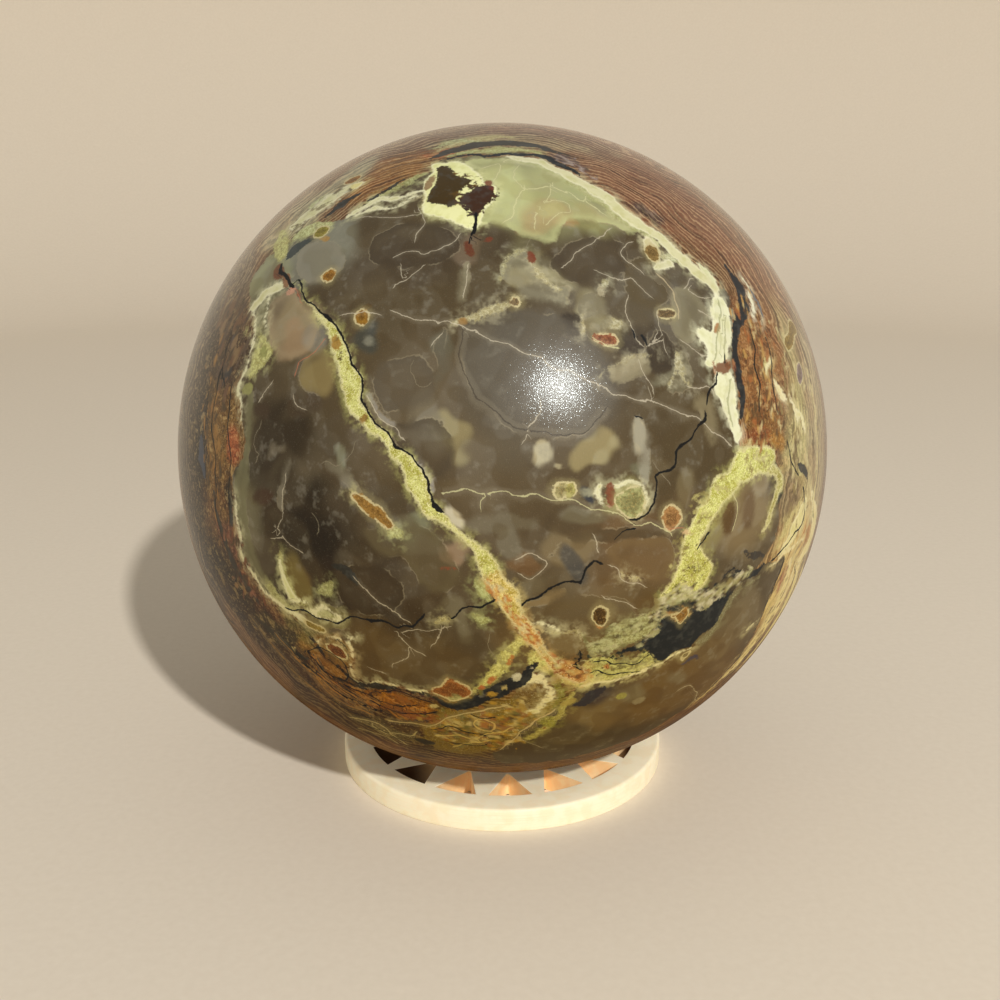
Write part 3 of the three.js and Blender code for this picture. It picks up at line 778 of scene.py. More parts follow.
# %% Wide crusts
for colour, text in [
    ((126, 106, 40),
     "(-11.2,-47.2)(-8,-48)(-5,-47.6)(-2,-45.6)(0.5,-44)(2.4,-44)(2.6,-47)(4.6,-49.4)(7,-50)(5,-53)"
     "(3,-53.8)(-0.5,-58.8)(-5,-63.2)(-8.8,-64.5)(-13.2,-63)(-16,-58)(-14,-52)"),
    ((130, 130, 48),
     "(5.2,-38)(7.2,-37.6)(8.8,-40.2)(9.2,-44.2)(9,-47.8)(10.4,-46)(10.8,-42)(9.4,-38.6)(7.4,-36.8)"),
    ((156, 156, 70), "(7.2,-50)(9.2,-49.2)(10.5,-52)(9,-53.5)(7.5,-52.5)"),
    ((196, 198, 132),
     "(-45.4,21.8)(-43,20.4)(-41.2,18.6)(-41,17)(-42.8,15)(-45.8,13)(-46.6,13.6)(-45.8,16)(-45.2,18)"
     "(-45,20)"),
    ((112, 90, 44),
     "(3.5,-39.8)(4.8,-39)(6.2,-39.2)(7.8,-40.5)(8.2,-43.5)(7.5,-46.2)(6.2,-48)(3.8,-48.5)(2,-46)"
     "(2,-42)"),
    ((112, 80, 24),
     "(-34.6,-33.6)(-31.6,-32.9)(-28.4,-33.6)(-26.9,-36)(-27.4,-39)(-29,-40.4)(-32,-39)(-35,-36.6)"),
    ((228, 230, 196),
     "(38.5,28.6)(40.7,27)(41,24)(40.8,21)(40.2,19)(39.5,17)(39,14.8)(40.3,13)(40.5,11)(40.5,8)(41,5)"
     "(41.5,3)(41,1)(40,1.5)(39,3.5)(38.5,5.5)(37.5,7.5)(36,9.5)(35.3,11.2)(36,12)(36.3,13.6)(34.5,14.3)"
     "(34.5,16.5)(33.5,18.5)(33.2,20.5)(34.5,21.5)(36,20.5)(36.5,23)(37,25)"),
    ((172, 176, 128),
     "(14.5,-33.5)(17.2,-31)(19.2,-29.2)(23,-27.8)(25.8,-27.2)(26.5,-29.8)(26.3,-31.6)(24,-32.8)"
     "(21.2,-33.2)(19.2,-34.5)(17.5,-35)(15.2,-34.8)"),
    ((192, 194, 124),
     "(14.5,-36.2)(16.5,-35.2)(19.5,-35.5)(20.2,-37.2)(22.5,-36.5)(25.5,-35.8)(28,-38)(24.2,-40.8)"
     "(20.2,-41.5)(15.8,-40.5)(13.8,-38.5)"),
    ((226, 220, 166),
     "(64,-9.6)(64.6,-12)(63.4,-15)(61,-17.6)(58,-19.8)(55,-21)(55.6,-19.4)(57.4,-17.4)(58.6,-14.8)"
     "(60.4,-12.4)(62,-10.6)"),
    ((206, 196, 140), "(59.6,-11.4)(57.6,-14)(56,-17)(53.4,-19.6)(54.6,-16.6)(56,-13.4)"),
    ((232, 234, 176),
     "(-14.8,50)(-14.6,46)(-14.2,43)(-13.2,41.2)(-9.2,39.8)(-7,38.5)(-4.8,37.2)(-3.5,39)(-3,40.8)"
     "(-1.5,44)(-1,47.6)(-3.2,48.8)(-4.2,51)(-8.2,55.6)(-11,55.6)(-13.8,56)(-13.6,53)"),
    ((150, 108, 34),
     "(-14,54.8)(-10.8,55.2)(-7.8,51.6)(-5,50.4)(-4.4,48.4)(-6.4,46.8)(-7.2,44.6)(-7.2,42)(-9.5,42)"
     "(-12,43)(-14.2,43.8)(-14.6,46.2)(-13.4,48)(-13,51)"),
]:
    (milk if sum(colour) > BRIGHT else crust).patch(text, colour)
milk.patch("(-12.4,45.6)(-11,43.6)(-8,43)(-7,44.6)(-6,46.6)(-5.4,48)(-8,49)(-11,47)", (238, 230, 170))
print("points in crusts:", int((crust.depth > 0).sum()))

# %% [markdown]
# ## Black stone
# Black opal fills the widest gaps: one large pool on the lower right, a ragged blot at the
# top, and bands that follow the rim. It is a layer of its own above the crusts.

# %% Black pool and blot
BLACK = (26, 28, 30)
dark = Layer("dark")
dark.patch(
    "(19.2,-36)(21.2,-34)(23.8,-33.5)(25,-32.8)(26.5,-32)(26.8,-30.8)(26.5,-29)(26.2,-27)(28,-25.8)"
    "(29.2,-25.2)(30.8,-26.5)(32.2,-25.8)(33.8,-26)(36,-27)(38.8,-26.3)(41,-25.3)(42.8,-24.3)(46.8,-22.6)"
    "(49.5,-21.8)(51.5,-21)(49.8,-23)(46.8,-24)(43,-26)(41.5,-27.5)(40.8,-30)(40.2,-32.2)(38,-34)"
    "(36,-35.5)(35.2,-36.8)(33.2,-36.8)(31.2,-37.2)(29.2,-38.5)(27.5,-38.5)(26.2,-36.4)(24.5,-35)"
    "(22.2,-34.8)(20.8,-35.4)",
    (26, 29, 32),
)
dark.patch(
    "(-12.8,54)(-10.8,54.5)(-8.2,51)(-5.9,49.8)(-6,48.2)(-7.4,47)(-8.3,45)(-8.2,43)(-9.5,42.9)"
    "(-11.8,43.9)(-13.6,44.5)(-14,46.2)(-12.8,48)(-12.2,50.8)",
    (62, 46, 12),
)
dark.patch(
    "(-5.2,46.5)(-4,47.8)(-1.9,47.6)(-1.9,44.6)(-3.1,42.4)(-4.1,40.6)(-4.5,39.6)(-5.3,41)(-6.8,43)"
    "(-7.4,44.4)",
    (60, 36, 20),
)
dark.lens(-2.6, 46.8, 1.3, 0.9, 30, (96, 44, 30))
dark.lens(-9.4, 46, 1.6, 1.2, 0, (84, 62, 16))
print("points in the pool and the blot:", int((dark.depth > 0).sum()))

# %% Black and brown bands
for colour, text in [
    ((60, 54, 44),
     "(-14.5,58.3,0.4)(-10,60.3,1)(-5,62.2,1.3)(0,63,1.3)(5,62.2,1.1)(9,60.8,0.6)(13,59,0.3)"),
    (BLACK,
     "(-12.5,56.6,0.3)(-8,58,0.4)(-4,57.4,0.4)(0,57.9,0.5)(4,57.8,0.5)(8,57.6,0.7)(12,54.6,0.7)"
     "(14.4,52.4,0.4)"),
    ((34, 35, 37),
     "(43,35.5,0.4)(44.6,33,0.9)(45.4,30.2,1.4)(45.2,26.8,1.5)(43.6,24.8,1.1)(42.4,22.2,0.8)"
     "(41.4,19.8,0.8)(41,17.5,0.75)(41.4,15.2,0.9)(41.5,12.5,0.75)(41.9,8.8,0.7)(41.6,5.6,0.35)"),
    ((104, 106, 108), "(48.6,32.4,0.2)(50.2,29,0.5)(50.6,26,0.3)"),
    ((60, 66, 62), "(-41.6,37,0.4)(-40,38.8,1.3)(-37.5,39.8,0.8)(-35.4,40.5,0.3)"),
    ((44, 40, 32), "(-34,45.6,0.3)(-32,47.4,0.8)(-29.6,49,0.6)(-27,50,0.3)"),
    ((48, 42, 32), "(-26,46.4,0.2)(-22,49.4,0.5)(-18,51.8,0.3)"),
    ((62, 70, 86), "(-61.5,3,0.5)(-61.2,-1,1.3)(-60.2,-5,0.8)"),
    ((48, 46, 46), "(-54,13,0.5)(-53,14.6,1.6)(-51.6,16,0.8)"),
    ((70, 66, 74), "(-52,22.6,0.4)(-52,20.6,1)(-51.6,18.6,0.4)"),
    ((52, 48, 42), "(-51.2,-9,0.3)(-51.6,-12,0.8)(-51.4,-14.6,0.3)"),
    ((30, 31, 33),
     "(-11.2,-45.8,0.5)(-8.5,-46.5,1)(-6.5,-46,1.2)(-3.2,-43.8,1.3)(0.5,-41.2,1.3)(3.2,-39.3,1.2)"
     "(4.8,-37.4,0.9)(5.8,-36.2,0.5)"),
    ((40, 34, 22),
     "(-27.6,-43.6,0.3)(-26.2,-43.7,0.6)(-23.2,-43.5,0.7)(-20,-43.6,0.5)(-17.2,-43.6,0.4)"
     "(-14.5,-43.8,0.3)(-12,-44.9,0.4)(-9.8,-45.8,0.4)"),
    ((38, 27, 14), "(-35,-39.8,0.2)(-33.8,-43,0.45)(-30,-43.9,0.4)(-26.5,-44.7,0.4)(-25.2,-45.5,0.2)"),
    ((78, 38, 24), "(-26.5,-46.8,0.1)(-21.2,-44.9,0.2)(-16.5,-44.5,0.2)(-13.2,-45,0.2)(-12,-46.2,0.1)"),
    ((82, 38, 24), "(-28.8,-47.8,0.1)(-25.2,-49.6,0.2)(-19.8,-50,0.22)(-14.2,-49,0.2)(-12.2,-47.8,0.1)"),
    ((62, 34, 18), "(-19.4,-52.4,0.1)(-16.4,-52.4,0.2)(-12.8,-50.8,0.15)"),
    ((50, 44, 30), "(-50,-33,0.3)(-46,-36,0.7)(-41.6,-38.6,0.6)(-38,-40.6,0.3)"),
    ((70, 62, 76), "(34.2,-40.5,0.15)(36.5,-40,0.5)(38.5,-39.6,0.15)"),
    ((44, 30, 10), "(-33.6,-34.9,0.15)(-31,-34,0.2)(-28.8,-34.6,0.2)(-27.9,-36.6,0.2)(-28.6,-39,0.15)"),
    ((48, 32, 12), "(-32,-36,0.1)(-30.6,-35.4,0.15)(-29.4,-36.4,0.2)(-29.8,-38,0.15)(-31.4,-37.6,0.1)"),
    ((38, 28, 14), "(-36,-34,0.2)(-34,-37.4,0.4)(-31,-40.6,0.5)(-28.4,-42.8,0.4)(-27,-44,0.3)"),
    ((40, 38, 32), "(-28.5,-19,0.3)(-27,-19.4,0.7)(-25.2,-21,0.6)(-24.4,-22,0.3)"),
    ((50, 44, 32), "(-17.6,-60,0.8)(-16.2,-60.2,1.7)(-14.8,-60.2,0.8)"),
    ((50, 46, 52), "(13.6,-46.8,0.4)(14.8,-46.2,1)(16.4,-44.4,1.2)(18,-43.4,0.5)"),
    ((40, 42, 38), "(58.8,-2.5,0.4)(61.5,-3.8,1.1)(63,-5.4,0.6)"),
    ((48, 44, 40), "(52,-7,0.2)(52.6,-8.4,0.8)(52.2,-9.8,0.3)"),
    ((56, 50, 44), "(44,-18.4,0.3)(47,-19.6,0.8)(50,-20,0.4)"),
    ((52, 46, 38), "(-48,-30,0.3)(-52,-24,0.8)(-55,-16,0.6)(-57,-8,0.3)"),
]:
    dark.stroke(text, colour)
print("points in black stone:", int((dark.depth > 0).sum()))

# %% [markdown]
# ## Veins
# The main vein runs from the upper left to the foot, and a second one bends round a clear
# pocket on the right. Both are yellow-green and granular, and turn orange near the foot.

# %% Veins
YELLOW = (204, 206, 126)
AMBER = (214, 178, 106)
vein = Layer("vein")
vein.patch(
    "(-35.6,28)(-34,26)(-31.6,22.8)(-29.6,20.4)(-27.9,15.4)(-26.3,12)(-25.5,9.5)(-25,7.5)(-23.5,5.5)"
    "(-21.5,3.5)(-19.5,2)(-18,0.5)(-17,-0.8)(-15.8,-3)(-15,-5)(-14,-7)(-13.5,-8)(-12.5,-9.3)(-11,-10.5)"
    "(-9.5,-11.7)(-7.5,-13)(-6,-14.3)(-5,-15.2)(-4,-17.5)(-3.5,-19)(-2.4,-21)(-1.4,-20)(-0.5,-18.5)"
    "(-1.7,-16.5)(-3,-15)(-5,-13.6)(-7,-11.8)(-8,-11)(-9,-9.8)(-10,-8.7)(-11,-7)(-11.5,-5.5)(-12,-4.3)"
    "(-12.7,-3)(-13.5,-2)(-14.7,-0.7)(-15.5,0.3)(-16.5,1)(-17.5,2)(-18,3)(-19.5,4)(-20.5,5)(-21.3,6)"
    "(-21.8,7.5)(-22,9)(-22.5,11)(-23.5,13)(-24.5,15)(-25.5,17)(-26,18.5)(-27,20)(-28,21.3)(-29.5,22.5)"
    "(-31.5,24)(-33,25.5)",
    YELLOW,
)
vein.patch(
    "(45,1)(41,0.4)(40,-0.5)(39,-3)(36,-4.5)(35,-6)(34,-8)(32,-10)(31,-12)(30.3,-14)(29.8,-17)(29.5,-19)"
    "(28,-22)(26.5,-25)(29,-25.3)(31.5,-25.8)(34,-25)(36,-22.6)(36.4,-20)(35,-17.6)(33.6,-16)(34.5,-14)"
    "(35.5,-12)(37,-10)(39,-8)(41,-6)(44,-5)(48,-4)(50,-2.5)(50.6,-0.6)(48,1)",
    (208, 212, 128),
)
for colour, text in [
    ((214, 194, 116), "(-1.6,-19.6,1.5)(0,-22,1.6)(1,-24,1.6)(2,-26.2,1.3)"),
    (AMBER, "(1.6,-25.6,0.9)(2.6,-27.2,1.2)(4,-29.5,1.1)(5.5,-32,1)(7,-34,0.9)(9,-36.5,1.2)(10.6,-38.2,1)"),
    ((184, 180, 112),
     "(48.5,-3.4,0.9)(51.4,-4.2,0.9)(52.3,-6,1)(51.5,-8,0.9)(50.8,-10,0.8)(50,-12.8,0.7)(48.2,-15,0.4)"),
    ((176, 178, 106), "(35,-22,1)(32,-24,1)(29,-24.6,0.6)"),
]:
    vein.stroke(text, colour)
vein.patch("(9,-36.2)(11.5,-35.8)(14.5,-37.8)(14.8,-40.6)(12.5,-41)(9.5,-39.2)", (194, 142, 80))
print("points in veins:", int((vein.depth > 0).sum()))

# %% [markdown]
# ## Inclusions
# Small pockets of amber, red and green stone are scattered in the heart. Most are ringed with
# a thin cream skin, so they are one layer whose rim the material paints. Bare spots are another.

# %% Ringed pockets
gem = Layer("gem", reach=2.0)
for a, b, long, wide, slant, colour in [
    (-23, 22, 1.5, 1.5, 0, (150, 110, 30)),
    (-30.5, 30.5, 1.7, 1.5, 20, (158, 112, 38)),
    (-34.5, 41.5, 1.7, 1.6, 0, (150, 146, 60)),
    (-31, 56, 2.4, 1.6, 20, (160, 112, 40)),
    (16, 17.8, 2.2, 1.0, -10, (150, 86, 62)),
    (1.8, 23.6, 1.2, 0.9, 10, (120, 108, 84)),
    (27.5, 23, 1.6, 1.2, 10, (112, 100, 80)),
    (26.3, 34.6, 1.6, 2.2, 0, (142, 120, 72)),
    (8.8, -6.3, 1.5, 1.2, 0, (176, 172, 124)),
    (10.4, -6.3, 1.5, 1.4, 0, (182, 182, 112)),
    (27.5, -11, 1.8, 2.3, 10, (176, 132, 84)),
    (16.2, -27, 1.5, 2.2, 18, (70, 52, 18)),
    (-34, -31.8, 2.6, 1, -14, (146, 132, 62)),
    (-8.5, -43.7, 1.7, 1.6, 0, (186, 190, 134)),
    (61.5, 16, 1.4, 2.6, -10, (150, 136, 140)),
    (34.5, -38.6, 1.1, 0.9, 0, (140, 132, 92)),
    (20.4, -8.2, 2.6, 2.5, 0, (176, 184, 128)),
]:
    gem.lens(a, b, long, wide, slant, colour)
gem.patch("(62.2,28.8)(64.5,27)(61.8,23)(58.2,20)(57,21.5)(59.2,25.2)", (150, 128, 58))
gem.patch(
    "(28.5,-28.2)(30.5,-28.2)(31.5,-27.5)(33,-28)(33.2,-29.5)(32,-30.2)(31.5,-31.2)(30.2,-29.5)(29,-29)",
    (150, 112, 52),
)
gem.lens(-30.2, -36.4, 2.3, 1.5, -30, (112, 56, 22))
gem.stroke("(-23.4,-7.2,0.8)(-22.5,-7.6,1.2)(-21,-9,1.2)(-19.5,-10,1.2)(-18,-11.6,0.9)", (160, 122, 56))
gem.patch(
    "(-13,-43.2)(-12,-41.6)(-10.6,-40.3)(-9.4,-39.5)(-7.4,-40.2)(-6.2,-41.4)(-5.5,-43)(-6.6,-44.4)"
    "(-9,-44.6)(-11.4,-44)",
    (158, 96, 46),
)
print("points in pockets:", int((gem.depth > 0).sum()))

# %% Bare spots
dot = Layer("dot", reach=2.0)
for a, b, long, wide, slant, colour in [
    (-5.7, 33.4, 0.9, 1.8, 8, (92, 22, 18)),
    (-2.3, 35.3, 0.8, 0.7, 0, (110, 32, 26)),
    (4.5, 31.6, 0.8, 1.3, 10, (118, 36, 28)),
    (-27.5, 18, 1.1, 1.4, 20, (170, 128, 50)),
    (-27.3, 18.4, 0.7, 0.9, 20, (112, 84, 30)),
    (-27.5, 17.6, 0.5, 0.8, 0, (58, 44, 20)),
    (-26.8, 15.6, 0.4, 1.3, 8, (70, 62, 26)),
    (-22, 5, 0.8, 0.8, 0, (146, 110, 44)),
    (-21.6, 4.8, 0.4, 0.4, 0, (84, 60, 24)),
    (-22, 23.5, 0.9, 0.8, 0, (60, 40, 18)),
    (-33, 39.5, 1.6, 0.6, -20, (176, 140, 76)),
    (-6, 20, 0.8, 0.8, 0, (158, 122, 66)),
    (-6, 20, 0.4, 0.4, 0, (94, 66, 28)),
    (16, 26, 0.6, 1.2, 20, (186, 182, 154)),
    (-38.4, 28.6, 1.2, 1.0, 40, (214, 164, 140)),
    (-36.6, 27.9, 0.9, 0.6, -20, (120, 52, 34)),
    (-42.6, 34.2, 2.4, 1.2, -60, (110, 54, 34)),
    (-40, 31.4, 1.7, 1.0, -45, (136, 84, 56)),
    (-46.3, 11, 1.4, 1.3, 0, (152, 158, 96)),
    (-43, 17.8, 0.9, 1.5, 10, (150, 158, 92)),
    (-22.6, -7.8, 0.8, 0.7, 0, (150, 44, 22)),
    (-19.2, -10.9, 0.6, 0.5, 0, (160, 60, 30)),
    (-10.2, -42.9, 1.5, 0.5, 10, (206, 150, 96)),
    (-8.2, -40.9, 1.3, 0.4, -24, (216, 166, 110)),
    (-20.4, -9.5, 1.4, 0.45, -35, (116, 46, 24)),
    (-13.6, 49.6, 0.9, 2.4, -14, (146, 116, 82)),
    (-2.5, 48.6, 0.9, 1.0, 20, (120, 46, 34)),
    (37.5, 21.4, 0.6, 1.3, -20, (176, 116, 60)),
    (2.2, -38.8, 1.1, 0.8, 60, (226, 228, 206)),
    (17, -6.8, 1.0, 2.4, 4, (122, 46, 36)),
    (15.8, -6.5, 0.7, 1.0, 10, (66, 60, 50)),
    (8.2, -6.2, 0.7, 0.5, 0, (146, 66, 46)),
    (27.2, -10.4, 0.9, 1.2, 0, (128, 74, 34)),
    (27.2, -10.2, 0.5, 0.6, 0, (196, 134, 70)),
    (27.9, -12.4, 0.8, 0.6, 0, (216, 160, 84)),
    (30.6, -13.6, 0.8, 0.5, 0, (226, 196, 150)),
    (16.2, -28.7, 0.8, 0.8, 0, (196, 124, 52)),
    (-8.5, -18.4, 1.2, 0.35, 20, (128, 52, 34)),
    (-40.5, -38.7, 0.7, 0.6, 0, (210, 194, 140)),
    (-10.6, -42.4, 1.4, 0.9, 40, (132, 54, 26)),
    (-7, -41.8, 0.7, 0.9, -20, (150, 62, 28)),
    (18.5, -37.7, 0.7, 0.6, 0, (196, 116, 54)),
    (-1.8, -39.6, 0.7, 1.2, -40, (196, 110, 56)),
    (-3.6, -41.4, 0.8, 0.9, -40, (188, 100, 50)),
    (1.6, -35.4, 0.5, 1.4, -34, (200, 130, 66)),
    (-3.6, -43.6, 0.9, 0.5, 30, (86, 98, 110)),
    (5.2, -37, 0.4, 0.3, 0, (226, 220, 200)),
    (-3.5, -52, 1.5, 1.2, 0, (176, 118, 62)),
    (12, -46, 1.4, 0.9, 30, (180, 168, 92)),
    (22.2, -46, 1.2, 0.9, 0, (170, 172, 92)),
    (26.6, -48.4, 1.5, 1.1, 0, (146, 140, 114)),
    (24, -34, 1.0, 0.5, -10, (180, 186, 150)),
]:
    dot.lens(a, b, long, wide, slant, colour)
dot.patch("(36,13.5)(37.5,15.2)(39.2,15.8)(40.2,14.8)(38.8,13)", (116, 56, 36))
print("points in spots:", int((dot.depth > 0).sum()))

# %% [markdown]
# The veins, the black pool and the mossy foot are full of grains, each a little ellipse, far
# too many to place by hand. They are strewn along paths with seeded random numbers, so they
# fall the same way every time. In the wood they are long splinters that lie with the grain.

# %% Strewn grains
GRAIN_SHAPE = 1.6
SPLINTER_SHAPE = 3.0


def scatter(layer, seed, count, path, spread, size, colours, slant=None):
    """Ellipses strewn along a path: round grains, or splinters where a slant is given."""
    random = np.random.default_rng(seed)
    course = flow(trace(path))
    for number in range(count):
        a, b = course[random.integers(len(course)), :2] + random.normal(0, spread, 2)
        long = size * random.uniform(0.6, 1.7)
        turned = random.uniform(0, 180) if slant is None else slant + random.normal(0, 12)
        shape = GRAIN_SHAPE if slant is None else SPLINTER_SHAPE
        layer.lens(a, b, long, long / shape, turned, colours[random.integers(len(colours))])


INK = [(60, 38, 16), (74, 48, 20), (52, 34, 18)]
PALE_GRAINS = [(208, 212, 170), (190, 196, 150), (224, 222, 196), (176, 178, 128)]
DARK_GRAINS = [(60, 56, 34), (84, 78, 46), (40, 40, 34)]
GOLD = [(200, 156, 84), (222, 206, 150), (86, 52, 24), (170, 96, 44), (66, 42, 22)]
MOSS = [(196, 158, 50), (62, 46, 18), (216, 202, 140), (150, 96, 36), (104, 108, 50), (176, 150, 70)]
AMBER_GRAINS = [(220, 210, 140), (204, 132, 66), (232, 222, 172), (226, 176, 104), (188, 110, 56)]
POOL_PEBBLES = [(222, 220, 190), (34, 34, 32), (200, 200, 158), (150, 142, 92), (44, 42, 36), (176, 176, 130)]
SLATE = [(36, 34, 38), (100, 68, 54), (64, 52, 54), (134, 110, 80)]
RUST = [(150, 96, 78), (36, 26, 20), (112, 56, 36), (150, 116, 70)]
for layer, seed, count, spread, size, slant, path, colours in [
    (milk, 38, 90, 0.28, 0.5, None,
     "(3.3,-40)(4.8,-39.1)(6.4,-39.3)(7.8,-40.8)(8.2,-43.5)(7.5,-46)(6,-47.8)(4,-48.3)",
     [(214, 208, 160), (226, 222, 182)]),
    (dot, 36, 60, 1.8, 0.45, None, "(-32,-36)(-30,-37)", [(140, 96, 26), (64, 42, 12), (116, 76, 18)]),
]:
    scatter(layer, seed, count, path, spread, size, colours, slant)

# %% Ribbons in the knot by the foot
for text in [
    "(-12.4,-43.4,0.2)(-10.6,-42.2,0.45)(-8.6,-41.6,0.45)(-6.8,-42.8,0.2)",
    "(-11.4,-42.2,0.2)(-10,-40.8,0.4)(-8,-40.6,0.2)",
    "(-10,-44.2,0.2)(-8.8,-43,0.4)(-7.2,-44.2,0.2)",
]:
    dot.stroke(text, (224, 196, 152))
dot.lens(-8.6, -44, 1.1, 0.9, 0, (140, 142, 108))
print("the knot has its ribbons")

# %% Grains of each place
for layer, seed, count, spread, size, slant, path, colours in [
    (dot, 26, 44, 0.4, 0.26, None, "(17,-5)(17,-8.6)", [(206, 160, 140), (92, 34, 30), (176, 92, 76)]),
    (dot, 31, 40, 0.6, 0.35, None, "(37,14.2)(39.4,15)", [(150, 78, 48), (84, 42, 30), (190, 130, 90)]),
    (dot, 30, 46, 0.6, 0.34, None,
     "(29.4,-28.6)(31.4,-28.6)(32.6,-29)",
     [(222, 194, 128), (104, 62, 28), (238, 224, 178), (166, 108, 48)]),
    (dot, 29, 150, 0.5, 0.42, None, "(-2,-21)(1,-24.6)(3.4,-29)(6.6,-33.4)(9.6,-37)", AMBER_GRAINS),
    (dot, 28, 80, 1.5, 0.4, None,
     "(38,-5)(34,-10)(31.6,-15)(31,-20)(31,-24)", [(222, 218, 150), (150, 144, 84), (196, 192, 122)]),
    (dot, 27, 60, 1.2, 0.4, None, "(44,-1.4)(48,-1.4)", [(226, 222, 160), (160, 152, 90), (202, 196, 130)]),
    (dot, 35, 90, 1.1, 0.4, None,
     "(10.5,-37)(12.5,-38.4)(13.6,-39.6)",
     [(150, 84, 44), (224, 180, 108), (96, 60, 30), (212, 204, 138), (176, 112, 56)]),
    (dot, 34, 110, 1.3, 0.42, None,
     "(15,-34)(19,-31.4)(24,-29.4)", [(206, 210, 166), (120, 126, 84), (190, 196, 150), (70, 72, 48)]),
    (dot, 55, 170, 0.8, 0.62, None,
     "(25.5,-28.2)(28,-25.8)(30.2,-24.6)(33.2,-25.6)(36.5,-26.6)(40.8,-25)(45.8,-23.4)", POOL_PEBBLES),
    (dark, 33, 100, 0.9, 0.4, None, "(27,-26)(30,-25)(34,-25.4)(38,-24.8)(44,-22.6)", [(26, 29, 32)]),
    (dark, 32, 40, 0.9, 0.3, None, "(12,-36)(18,-36)(24,-35.4)(29,-34)", [(40, 44, 34)]),
    (dark, 40, 90, 0.42, 0.2, None,
     "(-7.4,44.6)(-6,47)(-4,48.4)(-1.8,48)(-1.4,45)(-3,41.6)(-5.4,40.8)(-7.4,43.4)", INK),
    (dark, 39, 50, 0.4, 0.2, None,
     "(-8.2,51.4)(-5.4,50.2)(-5,48)(-7,46.6)(-7.6,43)", [(120, 88, 24), (70, 50, 14)]),
    (dot, 41, 110, 0.6, 0.5, None,
     "(27.6,-25.6)(30.6,-25.4)(33,-25)(36,-25.8)(39.6,-25)(42,-24)(46,-22.4)", PALE_GRAINS),
    (dot, 42, 50, 0.5, 0.35, None,
     "(24,-33.4)(26.6,-31.6)(27,-28.4)", PALE_GRAINS + [(30, 32, 34), (40, 42, 42)]),
    (dot, 43, 40, 0.8, 0.45, None,
     "(20,-37.4)(25,-38)(28,-38.6)", [(150, 156, 110), (196, 196, 140), (110, 112, 72)]),
    (dot, 44, 60, 1.3, 0.34, None, "(33,-15)(34,-19)(32,-23)(36,-24)(42,-22)", DARK_GRAINS),
    (dot, 45, 150, 2.6, 0.75, 94, "(46,26)(48,18)(48,10)(47,4)", GOLD),
    (dot, 53, 60, 0.8, 0.4, None,
     "(11,57.6)(14,55.6)(17,52.6)", [(176, 164, 160), (60, 52, 60), (110, 96, 100)]),
    (dot, 54, 40, 0.8, 0.4, None, "(25.5,45)(28.5,44)", [(60, 46, 44), (140, 120, 110), (90, 70, 64)]),
    (dot, 46, 90, 2.4, 0.9, 96,
     "(57,22)(58,10)(58,-2)(60,-12)", [(222, 212, 160), (150, 134, 84), (96, 80, 50)]),
    (dot, 53, 80, 2.4, 1.2, 70, "(-60,29)(-53,26)(-51,16)(-57,16)", SLATE),
    (dot, 54, 50, 2.0, 0.9, 64, "(-54,-14)(-52,-22)(-48,-29)", RUST),
    (dot, 47, 60, 2.4, 1.0, 92, "(-56,20)(-57,4)(-55,-10)", [(150, 104, 44), (44, 32, 22), (166, 122, 60)]),
    (dot, 48, 70, 1.8, 0.9, -22,
     "(-38,-42)(-28,-48)(-16,-50)", [(180, 118, 30), (50, 30, 12), (150, 88, 22)]),
    (dot, 49, 320, 2.4, 0.62, None, "(-12,-51)(-9,-57)(-4,-52)(0,-57)(1,-48)(4,-51)", MOSS),
    (dot, 50, 46, 1.7, 0.6, None,
     "(-44,44)(-38,49)(-30,54)", [(222, 220, 186), (150, 146, 104), (92, 84, 58)]),
    (dot, 51, 40, 1.1, 0.34, None, "(5,-42)(6,-44)(5,-46)", [(196, 178, 120), (82, 60, 28)]),
    (dot, 52, 60, 1.6, 0.9, 70,
     "(62,-20)(61,-30)(57,-40)(50,-50)", [(224, 208, 150), (150, 120, 70), (110, 96, 60)]),
]:
    scatter(layer, seed, count, path, spread, size, colours, slant)
print("points in spots and grains:", int((dot.depth > 0).sum()))

# %% [markdown]
# ## Cracks and hairlines
# Black cracks follow the main vein and break across the heart. Healed ones are finer and show
# as white or cream hairlines. They could be grooves in the mesh, but the ball was polished
# after it cracked, so its surface runs flat over them and colour is all there is to see.

